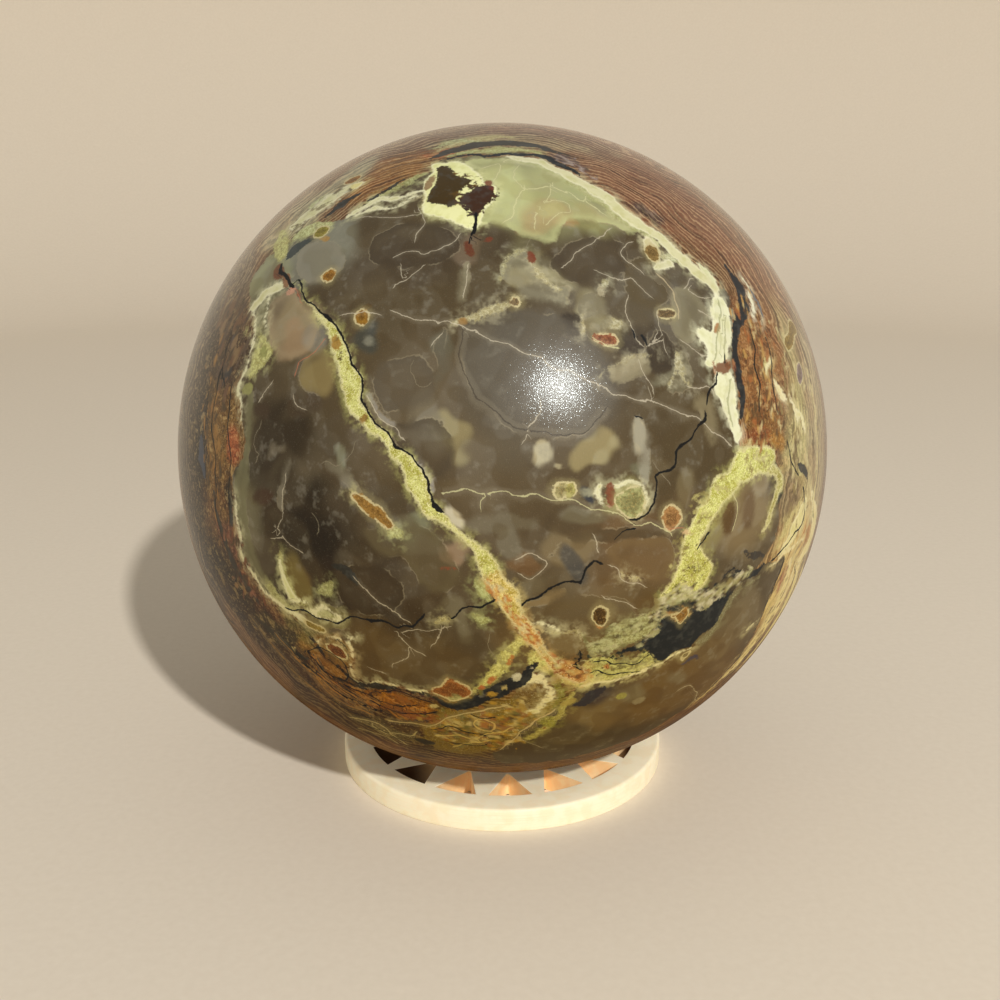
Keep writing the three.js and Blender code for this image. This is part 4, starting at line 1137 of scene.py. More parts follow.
# %% Black cracks
crack = Lines("crack")
for half, text in [
    (0.2,
     "(-37,31)(-35.5,28)(-33,25.5)(-31.5,24)(-29.5,22.5)(-28,21.3)(-27,20)(-26,18.5)(-25.5,17)(-24.5,15)"
     "(-23.5,13)(-22.5,11)(-22,9)(-21.8,7.5)(-21.3,6)(-20.5,5)(-19.5,4)(-18,3)(-17.5,2)(-16.5,1)"
     "(-15.5,0.3)(-14.7,-0.7)(-13.5,-2)(-12.7,-3)(-12,-4.3)(-11.5,-5.5)(-11,-7)(-10,-8.7)(-9,-9.8)"),
    (0.6, "(-10.6,-8)(-10,-8.9)(-9.4,-9.5)"),
    (0.5, "(-30,22.9)(-29.3,22.4)(-28.7,21.9)"),
    (0.4, "(-42.6,36)(-42,34)(-40.8,32.4)(-39,31)(-37.6,29.4)"),
    (0.2,
     "(-40,-28.7)(-37.5,-29.2)(-35.5,-29)(-33.5,-29.3)(-30,-30)(-28.5,-30)(-27,-29)(-25,-28.7)(-21,-28.7)"
     "(-17,-29)(-15,-29)(-14,-28)(-13,-26.5)"),
    (0.17, "(-9,-27)(-7,-25.8)(-5,-25)(-3,-24.3)(-1,-23.8)"),
    (0.2, "(3,-24.5)(6,-23)(8,-21.5)(9.5,-20.5)(11,-20.5)(12.5,-21.3)(13,-19)(13.5,-18)(14.5,-17.2)(16,-18)"),
    (0.24, "(33.5,7)(33.7,5)(33,4)(31.5,3)(30.5,2)(29,0.7)(28,-0.5)(27.8,-2)(27,-3)(25.5,-3.6)(24.2,-4.2)"),
    (0.17, "(24.2,-4.2)(24.5,-7)(24,-9)(23.5,-10.2)(22,-10.6)(20,-10.7)"),
    (0.22, "(37,13)(36,11.5)(35.3,10.8)(34.4,9.4)(33.8,8)"),
    (0.2, "(38.8,17)(38.7,16.2)(38.6,15.5)"),
    (0.16, "(21,-12)(19,-13)(18,-14)"),
    (0.15, "(13,-35)(12.5,-35.8)(12,-36.5)"),
    (0.3, "(-4.5,41)(-4.5,39.8)(-4.5,38)(-4.6,36.8)(-4.9,36)"),
    (0.13, "(-4.9,36)(-5.5,34.5)"),
    (0.12, "(-4.9,36)(-4,35.4)(-3.2,35.2)"),
    (0.15, "(21,19.5)(21.3,18.8)(21.5,18.3)"),
    (0.16, "(22.5,18.5)(23,17.8)(23.2,17)"),
    (0.2, "(20.8,5.2)(21.5,5.3)(22.2,5.1)"),
    (0.18, "(35,-14)(34,-15.4)(33,-17)"),
    (0.13, "(12.4,-33.8)(13.4,-35.2)(12.8,-36.6)(13.8,-37.8)"),
    (0.16, "(64.6,-25)(66.6,-31)(66,-37.4)(62.6,-43.6)(58.6,-49)"),
    (0.14, "(70.4,-26)(71.2,-33)(69.4,-40.4)(65.8,-47)"),
    (0.14, "(68.8,-4)(67.6,-9.6)(70.6,-15.4)"),
    (0.15, "(-35.6,-37)(-33.6,-36.4)(-30,-38.4)(-28.6,-42)(-31,-43.6)(-35,-41.6)(-37.4,-39)(-35.8,-37)"),
    (0.13, "(-38,-37.6)(-36,-41)(-32,-44.6)(-27.6,-47.6)(-24,-48.6)"),
    (0.12, "(-41,-38)(-38.4,-42.4)(-34,-46.6)(-29,-49.4)(-23.6,-51)"),
    (0.13, "(-26,-46.6)(-22.6,-44.8)(-17.6,-44.6)(-12.6,-46.4)"),
    (0.15, "(-26,-47.8)(-22,-50)(-17,-50.2)(-12.2,-48.6)"),
    (0.16, "(-50.6,13)(-51.6,6)(-50.8,-2)(-51.6,-9)(-52.4,-15)"),
    (0.18, "(-55,16)(-56.6,8)(-55.6,-2)(-56.4,-12)(-54.6,-20)"),
    (0.14, "(-59,12)(-60,2)(-59.2,-8)"),
    (0.16, "(-53.4,22)(-54.6,17)(-53,12)"),
    (0.13, "(15.2,-39.5)(18,-39)(20.5,-40)(25.2,-40.2)"),
    (0.12, "(15.5,-37)(17.8,-36.2)(20.2,-37.5)(23.8,-37.8)(26.2,-36.8)"),
    (0.22,
     "(61.5,-7.2)(62.8,-9.5)(63.5,-11.2)(64,-13.8)(62.2,-16)(59.5,-17.5)(56.8,-19.5)(54,-20.8)"
     "(52.5,-21.8)"),
    (0.16, "(57.5,-21.5)(57,-25.5)(55.5,-29.8)(54.5,-36)(54.5,-40.2)(50.5,-48)(44.5,-56)"),
    (0.18, "(54.5,2)(55.5,0)(56,-2.2)(59,-4.8)"),
    (0.14, "(-43,-38)(-38,-43.4)(-33,-47.6)(-28,-50.4)(-22,-52)"),
    (0.13, "(-40,-38.6)(-36,-43.6)(-31.6,-46.4)(-28,-48.6)"),
    (0.16, "(-46,-43)(-40,-48)(-34,-52.6)(-27,-55)"),
    (0.14, "(-31,-44.6)(-27,-46)(-24,-47.6)(-19,-48)(-15,-47)"),
    (0.14, "(-14,-55)(-10,-53)(-7,-54.6)(-3,-56)"),
    (0.13, "(-10,-59)(-6,-60)(-3,-58.6)"),
    (0.12, "(-6,-48.8)(-4,-50)(-1,-49)"),
    (0.16, "(-30,-58)(-26,-58.6)(-22,-61)(-19,-61.6)"),
    (0.2, "(45.6,23)(46.4,19)(45.8,15)(46.8,11)(46,7)"),
    (0.16, "(50,22)(51,17)(50.4,12)(51.6,7)"),
]:
    crack.draw(text, half, (14, 13, 12))

# %% White hairlines
hair = Lines("hair")
for half, text in [
    (0.17,
     "(-18,22.8)(-16.5,22.3)(-15,21.2)(-13.5,20.6)(-11,20.8)(-10.3,20.2)(-9.5,20.5)(-8,20)(-6.5,19.4)"
     "(-5,18.5)(-3,18)(0,16.5)(2,15.7)(4,14.8)(6,14.3)(7.5,13)(10,12.5)(12,11.5)(14.5,10.5)(16,9.5)"
     "(17.5,8.6)(20,8.3)(22,8.5)(24,7.5)(28,6.5)(30.5,5.8)(32.5,5)(34,4)(35,3.2)(37,2)(39,0.8)"),
    (0.13, "(-27,43)(-20,41.5)(-15,41.5)"),
    (0.13, "(-15,43.5)(-14,41)(-14,38.5)(-15,36.5)(-15,35.5)"),
    (0.13, "(-18,32.5)(-15,33.5)(-13,32.5)(-10,33.5)(-9,34.5)(-7,36.5)"),
    (0.1, "(-17,31)(-16.5,28.5)"),
    (0.1, "(-13,30.5)(-15.5,28.3)(-18,26.5)"),
    (0.12, "(-10,18.3)(-11,16.5)"),
    (0.12, "(9.5,30)(13,33.5)(15,35)(17,37)(19,38.5)"),
    (0.15, "(22.5,36.5)(20.5,34.5)(20.3,33.5)(23,31)(24,30)"),
    (0.12, "(15,29.5)(20,28.5)(23,27)(25,25.5)"),
    (0.12, "(20.5,26)(20.3,23.5)(20.3,21.5)(21,20)(21.5,18.5)(22.5,17)"),
    (0.13, "(26,23)(26,20)(26.3,18)(27,16)"),
    (0.13, "(5.8,8)(5,5)(3.5,2.5)(2.5,1.3)"),
    (0.12, "(29.5,18.5)(31,17.5)(33,16.5)(34.5,16)"),
    (0.14, "(30.5,10.3)(33,10.5)(35,10.5)(35.5,9)"),
    (0.13, "(31,28)(33,30)(34,30.5)"),
    (0.13, "(32,28)(35,27)(37,27)"),
    (0.13, "(34,24.5)(36,23.3)(37,23)"),
    (0.12, "(-39.5,-13.5)(-38,-15)(-36.5,-16.5)(-34,-17.5)"),
    (0.1, "(-41,-15.5)(-38.5,-15.3)"),
    (0.1, "(-36.5,-4)(-38,-10)(-39,-13)"),
    (0.12, "(-25,-21)(-22,-23.5)(-20,-25)(-17,-27)(-15.5,-28.5)"),
    (0.13, "(14,-13.5)(15,-16)"),
    (0.13, "(17,-18.5)(18.7,-19.2)(19.2,-20.5)(20.5,-21.5)(22,-21.8)(24,-22.5)"),
    (0.13, "(16,-23.5)(19,-25)(23,-26)"),
    (0.11, "(-18,-30.3)(-16,-33)(-13,-35)"),
    (0.11, "(-10,-29)(-11,-31)(-12,-33.5)"),
    (0.11, "(-16,-33.5)(-16.5,-35.5)(-19,-37.5)(-19.5,-38.5)"),
    (0.12, "(-24,-39)(-21,-40)"),
    (0.1, "(-18,-30)(-12,-29.5)(-9,-28.8)"),
    (0.13, "(21.5,14.5)(22.5,12)(23.5,10)(24,8.5)"),
    (0.14, "(-27,22.5)(-24,22.7)(-23,23)(-21.5,22.3)(-20,21.7)"),
    (0.16, "(-43,9)(-41.5,10.4)(-40,12)"),
    (0.14, "(-35,9.5)(-34.5,8)(-32.5,7)"),
    (0.13, "(-5.8,30)(-6,28)(-6.2,24)"),
    (0.11, "(3.5,-57)(6,-59)(8.5,-61)"),
    (0.2, "(35.3,-48.8)(36.5,-48)(38.5,-48)(41,-50.8)(44,-57.2)"),
    (0.14, "(2,-16.5)(4,-16.2)(6,-16.5)(7,-17)(5.5,-19.5)(4,-20)(2.5,-19)"),
    (0.11, "(23.2,17)(24.6,17.6)(26,18)"),
    (0.11, "(23.2,17)(24.2,18)(25,19)"),
    (0.16, "(-21,8.5)(-20.5,7)(-18.5,5)(-16,3)(-15,1.5)"),
]:
    hair.draw(text, half, (196, 188, 166))
print("points beside white hairlines:", int((hair.half > 0).sum()))

# %% The dark line under the eye, and green hairlines
hair.draw(
    "(-6,18.4)(-6.6,16)(-6.7,14)(-6,12)(-5,10)(-4,8.3)(-2.5,6.5)(-1,5.3)(0.5,4.5)(2,3.7)(3.5,3.2)(5,2.9)"
    "(7,2.7)(9,2.4)(10.5,2.6)(12.5,3)(14,3.8)(15,5)(16,7)", 0.24, (58, 50, 42))
for half, text in [
    (0.2,
     "(-9,-6.5)(-7,-6)(-6,-5.8)(-3,-6.3)(0,-6.5)(2,-6.5)(5,-6.8)(7,-7.2)(9,-7.5)(11,-8)(14,-8.8)(16,-9.5)"
     "(18,-10)(19.5,-10.8)(21,-11.5)(23.5,-12)(26,-12.5)(28,-14)"),
    (0.14, "(-2.5,-6.8)(-3.5,-8)(-3.7,-9.5)"),
    (0.26, "(0.2,38.5)(1.5,40.5)(2.8,45.2)(5,47)(8.5,47.5)(12,46.5)(14.5,44.5)(18.8,42)"),
    (0.16, "(9,49)(9,47)(7.5,44)(6,41.5)(5.5,40)(5.5,37.5)"),
    (0.14, "(6,41.8)(8.2,43.8)(11.2,44)(11.8,41.8)(9.5,41)(7.2,38.5)"),
    (0.2, "(12,47)(14,44.5)(15,46)"),
    (0.18, "(-4,53)(0,55)(1.5,56)"),
    (0.16, "(0,55)(-1,51)(-2,48)"),
    (0.16, "(4,46)(2,50)(3,54)"),
    (0.16, "(14,18)(16,17)(18,16.5)"),
    (0.22, "(6,-32)(7.6,-34)(9,-36)"),
    (0.22, "(39.2,-6.4)(40.8,-8.4)(41.2,-11)(40.2,-14)"),
]:
    hair.draw(text, half, (206, 204, 156))
print("points beside these and the white ones:", int((hair.half > 0).sum()))

# %% Growth lines at the foot and rust lines
for colour, text in [
    ((168, 122, 52), "(-42,-40.8)(-38.2,-44.8)(-34.5,-50)(-30,-52)(-25.8,-53)"),
    ((160, 114, 46), "(-35.6,-38.8)(-34.4,-44.5)(-29.8,-47)(-24,-48.4)"),
    ((150, 112, 56), "(-48,-38.5)(-43.5,-44.8)(-39,-50.2)(-34.8,-56)"),
    ((172, 128, 58), "(-44.6,-36.4)(-39.6,-42.2)(-35.6,-46.4)(-30,-49.4)(-25,-51)"),
    ((140, 116, 66), "(-52,-34)(-47,-41)(-43,-47)(-37,-52.4)"),
    ((196, 186, 146), "(-32.5,-56.8)(-28.8,-56)(-25.5,-56.5)(-23,-59.5)(-20.5,-63)"),
    ((200, 186, 140),
     "(-22.8,-53.8)(-18.8,-53.2)(-14.8,-53.2)(-11.8,-51.6)(-8.8,-49.4)(-4.2,-47.7)(0.5,-45.8)"),
    ((190, 182, 140), "(-27,-57.6)(-24.6,-60)(-21.8,-58)(-19,-58.6)(-17.4,-56.6)"),
    ((186, 176, 130), "(-31.5,-61.4)(-26.2,-61.5)(-23,-64)"),
    ((206, 188, 116), "(-13,-57)(-9,-55.6)(-6,-57)(-2,-54.6)(1.6,-53)"),
    ((200, 180, 108), "(-10,-61)(-6,-58.6)(-2.6,-57.6)"),
    ((210, 186, 120), "(-3.5,-50)(-1.7,-50.8)(-1.5,-53)(-3.5,-54)(-5.3,-53)(-5.2,-51)(-3.6,-50)"),
    ((206, 190, 150), "(-0.5,-61)(4.5,-53)(7.8,-49.2)(9.5,-47.8)"),
    ((186, 172, 138), "(26.4,30)(28.4,27.6)(29.6,24.6)(29.4,22.4)"),
    ((150, 152, 112), "(38.8,27)(38.2,22.6)(37,18.4)(36.2,15.6)"),
    ((158, 158, 116), "(39.8,24)(39,19.4)(38.6,16.6)"),
    ((152, 154, 112), "(39.6,12)(38.6,9)(39.4,5)"),
    ((226, 208, 150), "(61,-23)(60.4,-30)(58.4,-36)(55.4,-43)(50,-50)(44,-57.4)"),
    ((214, 196, 140), "(66.4,-12)(66.6,-20)(64.6,-28)(62.6,-34)"),
]:
    hair.draw(text, 0.5, colour)
for text in [
    "(-35,13)(-34.5,15)(-33,16)(-31,17)(-29.5,18.5)",
    "(-38.2,29.4)(-36.6,27.6)(-35.2,26.2)",
    "(30,-13)(28,-12.8)(26.5,-12.5)",
]:
    hair.draw(text, 0.16, (190, 112, 84))
print("points beside all placed hairlines:", int((hair.half > 0).sum()))

# %% [markdown]
# Fainter hairlines are everywhere in the heart, too many to place by hand. Each is a short
# walk that turns a little at every step, and it is drawn only where no other line is near,
# because two lines that share the same points would tangle.

# %% Hairlines at random
WALK_COUNT = 70
WALK_FIELD = 46
WALK_CLEARANCE = 4.5


def stride(angle, length):
    """A step on the map, of one length at one angle."""
    return length * np.array([math.cos(angle), math.sin(angle)])


random = np.random.default_rng(61)
for number in range(WALK_COUNT):
    heading = random.uniform(0, 2 * math.pi)
    point = stride(heading, WALK_FIELD * math.sqrt(random.random()))
    heading = random.uniform(0, 2 * math.pi)
    walk = [point]
    for step in range(random.integers(3, 7)):
        heading += random.normal(0, 0.45)
        point = point + stride(heading, random.uniform(0.8, 1.8))
        walk.append(point)
    around = np.abs(chart - walk[1]).max(1) < WALK_CLEARANCE
    if (hair.room[around] < Lines.ROOM).any():
        continue
    text = "".join(f"({a:.2f},{b:.2f})" for a, b in walk)
    hair.draw(text, random.uniform(0.04, 0.1), (136, 128, 106))
print("points beside cracks:", int((crack.half > 0).sum()), "and hairlines:", int((hair.half > 0).sum()))

# %% [markdown]
# ## The pattern goes into the mesh
# The grounds, depths and distances become named attributes on the ball's points. They follow
# the surface wherever the mesh goes, and have no seam, as a flat texture wrapped round a ball
# would. A few more say where the wood is knotty like burl, where the ball turns to its foot,
# and what is out of sight from the front.

# %% Write the attributes
def keep_value(name, values):
    """A number at each point."""
    made = ball.data.attributes.new(name, "FLOAT", "POINT")
    made.data.foreach_set("value", values.astype(np.float32))


def keep_colour(name, values):
    """A colour at each point, with full alpha."""
    full = np.column_stack([values, np.ones(len(values))]).astype(np.float32)
    made = ball.data.attributes.new(name, "FLOAT_COLOR", "POINT")
    made.data.foreach_set("color", full.ravel())


keep_value("heart_depth", heart.depth)
keep_colour("heart_paint", heart_paint)
keep_colour("wood_paint", wood_paint)
for layer in (cloud, crust, milk, dark, vein, gem, dot):
    keep_value(layer.name + "_depth", layer.depth)
    keep_colour(layer.name + "_paint", layer.colour)
for lines in (crack, hair):
    keep_value(lines.name + "_side", lines.side)
    keep_value(lines.name + "_half", lines.half)
keep_colour("hair_paint", hair.colour)
keep_value("broad", 0.5 + 0.16 * swell(surface, 22, 21) + 0.08 * swell(surface, 9, 22))
keep_value("patchy", 0.5 + 0.12 * swell(surface, 8, 23) + 0.08 * swell(surface, 3.5, 24))
lengthwise = surface - 0.75 * outness[:, None] * OUTWARD * BALL_RADIUS
keep_value("seam", swell(lengthwise, 24, 25) + 0.4 * swell(lengthwise, 7, 26))
FULL = (255, 255, 255)
burl = np.zeros((len(chart), 3))
wash(burl, [
    (-56, 2, 10, 36, 4, FULL, 1.0),
    (49, 10, 6, 17, 6, FULL, 0.9),
    (-52, -30, 9, 14, 25, FULL, 0.9),
    (-32, -45, 20, 8, -32, FULL, 0.8),
    (-3, -54, 16, 7, 4, FULL, 0.9),
    (60, -14, 5, 24, -8, FULL, 0.2),
], edge=0.5)
keep_value("burl", burl[:, 0])
keep_value("low", np.clip((10 - surface[:, 2]) / 50, 0, 1))
side_on = np.clip((20 - BALL_RADIUS * outness) / 25, 0, 1)
keep_value("hidden", side_on * np.clip((BALL_RADIUS * outness + 34) / 20, 0, 1))
print("attributes on the ball:", len(ball.data.attributes))

# %% [markdown]
# ## Writing materials as sums
# A material is a net of nodes, which is hard to read when it is wired by hand. Here a wire
# can be added, multiplied and compared like a number, and each sign adds its Math node.

# %% Wires and finishes
class Wire:
    """One node output, with arithmetic."""

    def __init__(self, finish, socket):
        self.finish = finish
        self.socket = socket

    def maths(self, operation, *others):
        return self.finish.node("Math", {"operation": operation}, dict(enumerate((self,) + others)))

    def __add__(self, other):
        return self.maths("ADD", other)

    __radd__ = __add__

    def __sub__(self, other):
        return self.maths("SUBTRACT", other)

    def __rsub__(self, other):
        return self.finish.node("Math", {"operation": "SUBTRACT"}, {0: other, 1: self})

    def __mul__(self, other):
        return self.maths("MULTIPLY", other)

    __rmul__ = __mul__

    def __truediv__(self, other):
        return self.maths("DIVIDE", other)

    def __abs__(self):
        return self.maths("ABSOLUTE")

    def rise(self, start, end):
        """0 up to start, 1 from end on, and a smooth step between."""
        settings = {"interpolation_type": "SMOOTHSTEP"}
        return self.finish.node("MapRange", settings, {"Value": self, "From Min": start, "From Max": end})


class Finish:
    """A material being made. One method adds every node."""

    def __init__(self, name):
        self.material = bpy.data.materials.new(name)
        self.material.use_nodes = True
        self.tree = self.material.node_tree
        self.tree.nodes.clear()

    def node(self, kind, settings=None, inputs=None, out=0):
        """A node with its settings, then its sockets filled with values or wires."""
        made = self.tree.nodes.new("ShaderNode" + kind)
        for name, value in (settings or {}).items():
            setattr(made, name, value)
        for key, value in (inputs or {}).items():
            socket = made.inputs[key] if isinstance(key, int) else self.find(made.inputs, key)
            if isinstance(value, Wire):
                self.tree.links.new(value.socket, socket)
            else:
                socket.default_value = value
        found = made.outputs[out] if isinstance(out, int) else self.find(made.outputs, out)
        return Wire(self, found)

    @staticmethod
    def find(sockets, key):
        """A socket by its identifier, or else by its name."""
        return next((s for s in sockets if s.identifier == key), None) or sockets[key]

    def mix(self, share, first, second, blend="MIX"):
        """Goes from the first colour to the second as share goes from 0 to 1."""
        settings = {"data_type": "RGBA", "blend_type": blend}
        inputs = {"Factor_Float": share, "A_Color": first, "B_Color": second}
        return self.node("Mix", settings, inputs, "Result_Color")

    def value(self, name):
        return self.node("Attribute", {"attribute_name": name}, out="Fac")

    def colour(self, name):
        return self.node("Attribute", {"attribute_name": name}, out="Color")

    def vector(self, operation, first, second, out=0):
        key = "Scale" if operation == "SCALE" else 1
        return self.node("VectorMath", {"operation": operation}, {0: first, key: second}, out)

    def noise(self, where, scale, detail=2.0, roughness=0.5, distortion=0.0):
        inputs = {"Vector": where, "Scale": scale, "Detail": detail, "Roughness": roughness,
                  "Distortion": distortion}
        return self.node("TexNoise", None, inputs, "Fac")

    def close(self, shader):
        end = self.tree.nodes.new("ShaderNodeOutputMaterial")
        self.tree.links.new(shader.socket, end.inputs["Surface"])
        print(self.material.name, "has", len(self.tree.nodes), "nodes")
        return self.material


def light(red, green, blue):
    """A display colour as a node's colour, with alpha."""
    return (*stone_colour(red, green, blue), 1.0)


print("a finish can be written as sums")

# %% [markdown]
# ## Polished stone
# The finish reads the layers from the bottom up: wood, opal, crusts, black stone, veins,
# pockets, hairlines and cracks. Each edge is where a layer's depth passes through zero. Real
# edges are never clean, so noise of three sizes, in millimetres, is added to the depth first.

# %% Places in millimetres
stone = Finish("polished_stone")
place = stone.node("TexCoord", out="Object")
from_centre = stone.vector("SUBTRACT", place, tuple(BALL_CENTRE))
mm = stone.vector("SCALE", from_centre, MM)
across = stone.vector("DOT_PRODUCT", mm, tuple(RIGHT), "Value")
upward = stone.vector("DOT_PRODUCT", mm, tuple(UPWARD), "Value")
outward = stone.vector("DOT_PRODUCT", mm, tuple(OUTWARD), "Value")
from_axis = (across * across + upward * upward).maths("SQRT").maths("MAXIMUM", 2.0)
broad = stone.value("broad")
patchy = stone.value("patchy")
MEDIUM_PER_MM = 0.55
FINE_PER_MM = 1.7
TINY_PER_MM = 4.2
medium = stone.noise(mm, MEDIUM_PER_MM, 2.0, 0.62)
fine = stone.noise(mm, FINE_PER_MM, 2.0, 0.65)
tiny = stone.noise(mm, TINY_PER_MM, 2.0, 0.68)


def frayed(name, by_fine, by_medium=0, by_tiny=0):
    """The depth in a layer, pushed to and fro in millimetres by each size of noise."""
    depth = stone.value(name + "_depth") + (fine - 0.5) * by_fine
    for size, amount in ((medium, by_medium), (tiny, by_tiny)):
        if amount:
            depth = depth + (size - 0.5) * amount
    return depth


def tinted(colour, red, green, blue):
    """A colour seen through a glass of another colour."""
    return stone.mix(1.0, colour, light(red, green, blue), "MULTIPLY")


print("places and noise take", len(stone.tree.nodes), "nodes")

# %% [markdown]
# Wood shows its growth lines, one for each season. They are rings round the log's middle,
# which points at the viewer, so they run along the ball's outline in front and along the
# grain at the sides. A sine of the distance from the axis draws them, and a stretched noise
# makes them uneven. In the knotty parts they give way to dark and golden blotches.

# %% Wood
GRAIN_WARP = 3.5
GROWTH_PITCH = 9.0
burl = stone.value("burl")
ring = from_axis + broad * GRAIN_WARP + medium * (0.8 + burl * 4.0)
grain_place = stone.node("CombineXYZ", None, {
    "X": ring * 1.9,
    "Y": across / from_axis * 5.0 + outward * 0.03,
    "Z": upward / from_axis * 5.0 + outward * 0.10,
})
grain = stone.noise(grain_place, 1.0, 2.0, 0.66)
low = stone.value("low")
wood = stone.colour("wood_paint")
redder = tinted(wood, 226, 180, 156)
wood = stone.mix(patchy.rise(0.5, 0.66) * 0.3, wood, redder)
dark_line = tinted(wood, 146, 130, 114)
calm = 1.0 - burl * 0.8
wood = stone.mix(grain.rise(0.5, 0.36) * (0.3 + calm * 0.5), wood, dark_line)
paler = stone.mix(0.5 - low * 0.26, wood, light(226, 200, 154))
growth = (ring * GROWTH_PITCH + fine * 3.0 + tiny * 1.5).maths("SINE")
wood = stone.mix(growth.rise(0.2, 0.95) * (0.3 + grain.rise(0.42, 0.6) * 0.4) * calm, wood, paler)
wood = stone.mix(growth.rise(-0.1, -0.95) * calm * 0.3, wood, light(66, 42, 26))
golden = stone.mix(0.55 - low * 0.2, wood, light(232, 204, 140))
wood = stone.mix(fine.rise(0.54, 0.66) * (0.15 + burl * 0.25), wood, golden)
wood = stone.mix(fine.rise(0.46, 0.34) * (0.2 + burl * 0.2), wood, light(54, 36, 20))
wood = stone.mix(medium.rise(0.46, 0.36) * burl * 0.6, wood, light(40, 28, 20))
wood = stone.mix(medium.rise(0.54, 0.66) * patchy.rise(0.46, 0.56) * burl * 0.5, wood, golden)
network = abs(medium - 0.52).rise(0.022, 0.004) + abs(fine - 0.5).rise(0.012, 0.002) * 0.5
wood = stone.mix(network * burl * 0.6, wood, light(36, 26, 16))
print("with wood:", len(stone.tree.nodes), "nodes")

# %% Seams in the wood at the sides and back
hidden = stone.value("hidden")
seam = abs(stone.value("seam") + (fine - 0.5) * 0.3)
wood = stone.mix(seam.rise(0.2, 0.06) * hidden * patchy.rise(0.4, 0.56), wood, light(190, 184, 132))
print("with seams:", len(stone.tree.nodes), "nodes")

# %% [markdown]
# The opal of the heart is smoky and a little see-through. Real depth would make it slow to
# render and lose the drawing, so it is painted: faint fog, clouds that thin out towards their
# middle, and a pale line along parts of each cloud's rim, as where silica settled in shells.

# %% Opal
opal = stone.colour("heart_paint")
deeper = tinted(opal, 236, 230, 218)
opal = stone.mix(patchy.rise(0.56, 0.42), opal, deeper)
opal = stone.mix(medium.rise(0.5, 0.72) * patchy.rise(0.45, 0.6) * 0.3, opal, light(140, 136, 122))
opal = stone.mix(tiny.rise(0.58, 0.8) * 0.14, opal, light(180, 172, 150))
heart_edge = frayed("heart", 1.2, 1.6)
cloud_in = frayed("cloud", 0.6, 1.2)
shell = 0.4 + cloud_in.rise(2.2, 0.1) * 0.34
cloud_edge = (cloud_in / (0.3 + patchy.rise(0.56, 0.4) * 1.5)).rise(-0.6, 0.6)
opal = stone.mix(cloud_edge * shell, opal, stone.colour("cloud_paint"))
rim_line = abs(cloud_in + 0.1).rise(0.2, 0.02) * patchy.rise(0.44, 0.6) * 0.25
opal = stone.mix(rim_line, opal, light(168, 158, 130))
rock = stone.mix(heart_edge.rise(-0.2, 0.2), wood, opal)
print("with opal:", len(stone.tree.nodes), "nodes")

# %% [markdown]
# Crusts and veins are masses of small grains, so their colour is broken up by all three sizes
# of noise, and a thin halo of the same colour spreads into the stone beside them. Smooth cream
# has less noise and a bright rim instead. Black stone covers both.

# %% Crusts
crust_in = frayed("crust", 1.5, 1.4, 0.5)
pale = stone.colour("crust_paint")
rock = stone.mix(crust_in.rise(-2.2, 0.0) * medium.rise(0.4, 0.64) * 0.3, rock, pale)
stained = tinted(pale, 206, 196, 150)
pale = stone.mix(fine.rise(0.36, 0.66) * 0.7, pale, stained)
pale = stone.mix(tiny.rise(0.45, 0.33) * 0.45, pale, light(112, 104, 66))
pale = stone.mix(tiny.rise(0.56, 0.7) * 0.4, pale, light(222, 220, 186))
pale = stone.mix(medium.rise(0.58, 0.7) * 0.5, pale, light(120, 112, 78))
crust_cover = crust_in.rise(-0.3, 0.45) * (0.7 + fine.rise(0.6, 0.4) * 0.3)
rock = stone.mix(crust_cover, rock, pale)

# %% Smooth cream
milk_in = frayed("milk", 0.8, 0.8)
smooth = stone.colour("milk_paint")
rock = stone.mix(milk_in.rise(-2.0, 0.1) * medium.rise(0.36, 0.6) * 0.4, rock, smooth)
greenish = tinted(smooth, 226, 226, 194)
smooth = stone.mix(medium.rise(0.4, 0.7) * 0.6, smooth, greenish)
smooth = stone.mix(milk_in.rise(0.6, 0.1) * 0.5, smooth, light(236, 234, 206))
rock = stone.mix(milk_in.rise(-0.22, 0.3) * 0.94, rock, smooth)

# %% Black stone
dark_in = frayed("dark", 1.1, 0.9)
black = stone.mix(medium.rise(0.45, 0.7) * 0.3, stone.colour("dark_paint"), light(84, 86, 84))
rock = stone.mix(dark_in.rise(-0.15, 0.15), rock, black)
print("with crusts and black stone:", len(stone.tree.nodes), "nodes")

# %% Veins
vein_in = frayed("vein", 1.1, 0.7, 0.7)
veined = stone.colour("vein_paint")
rock = stone.mix(vein_in.rise(-1.8, 0.1) * medium.rise(0.38, 0.6) * 0.34, rock, veined)
greener = tinted(veined, 216, 212, 168)
veined = stone.mix(medium.rise(0.4, 0.64), veined, greener)
veined = stone.mix(fine.rise(0.54, 0.7) * 0.55, veined, light(134, 118, 56))
veined = stone.mix(tiny.rise(0.53, 0.66) * 0.6, veined, light(112, 100, 48))
veined = stone.mix(tiny.rise(0.46, 0.32) * 0.7, veined, light(238, 234, 194))
veined = stone.mix(vein_in.rise(0.7, 0.1) * 0.6, veined, light(222, 216, 172))
rock = stone.mix(vein_in.rise(-0.35, 0.35), rock, veined)
print("with veins:", len(stone.tree.nodes), "nodes")

# %% [markdown]
# A pocket is amber or green inside, deeper in colour towards its middle, and has a cream skin
# that comes and goes round its rim. The spots and grains have no skin.

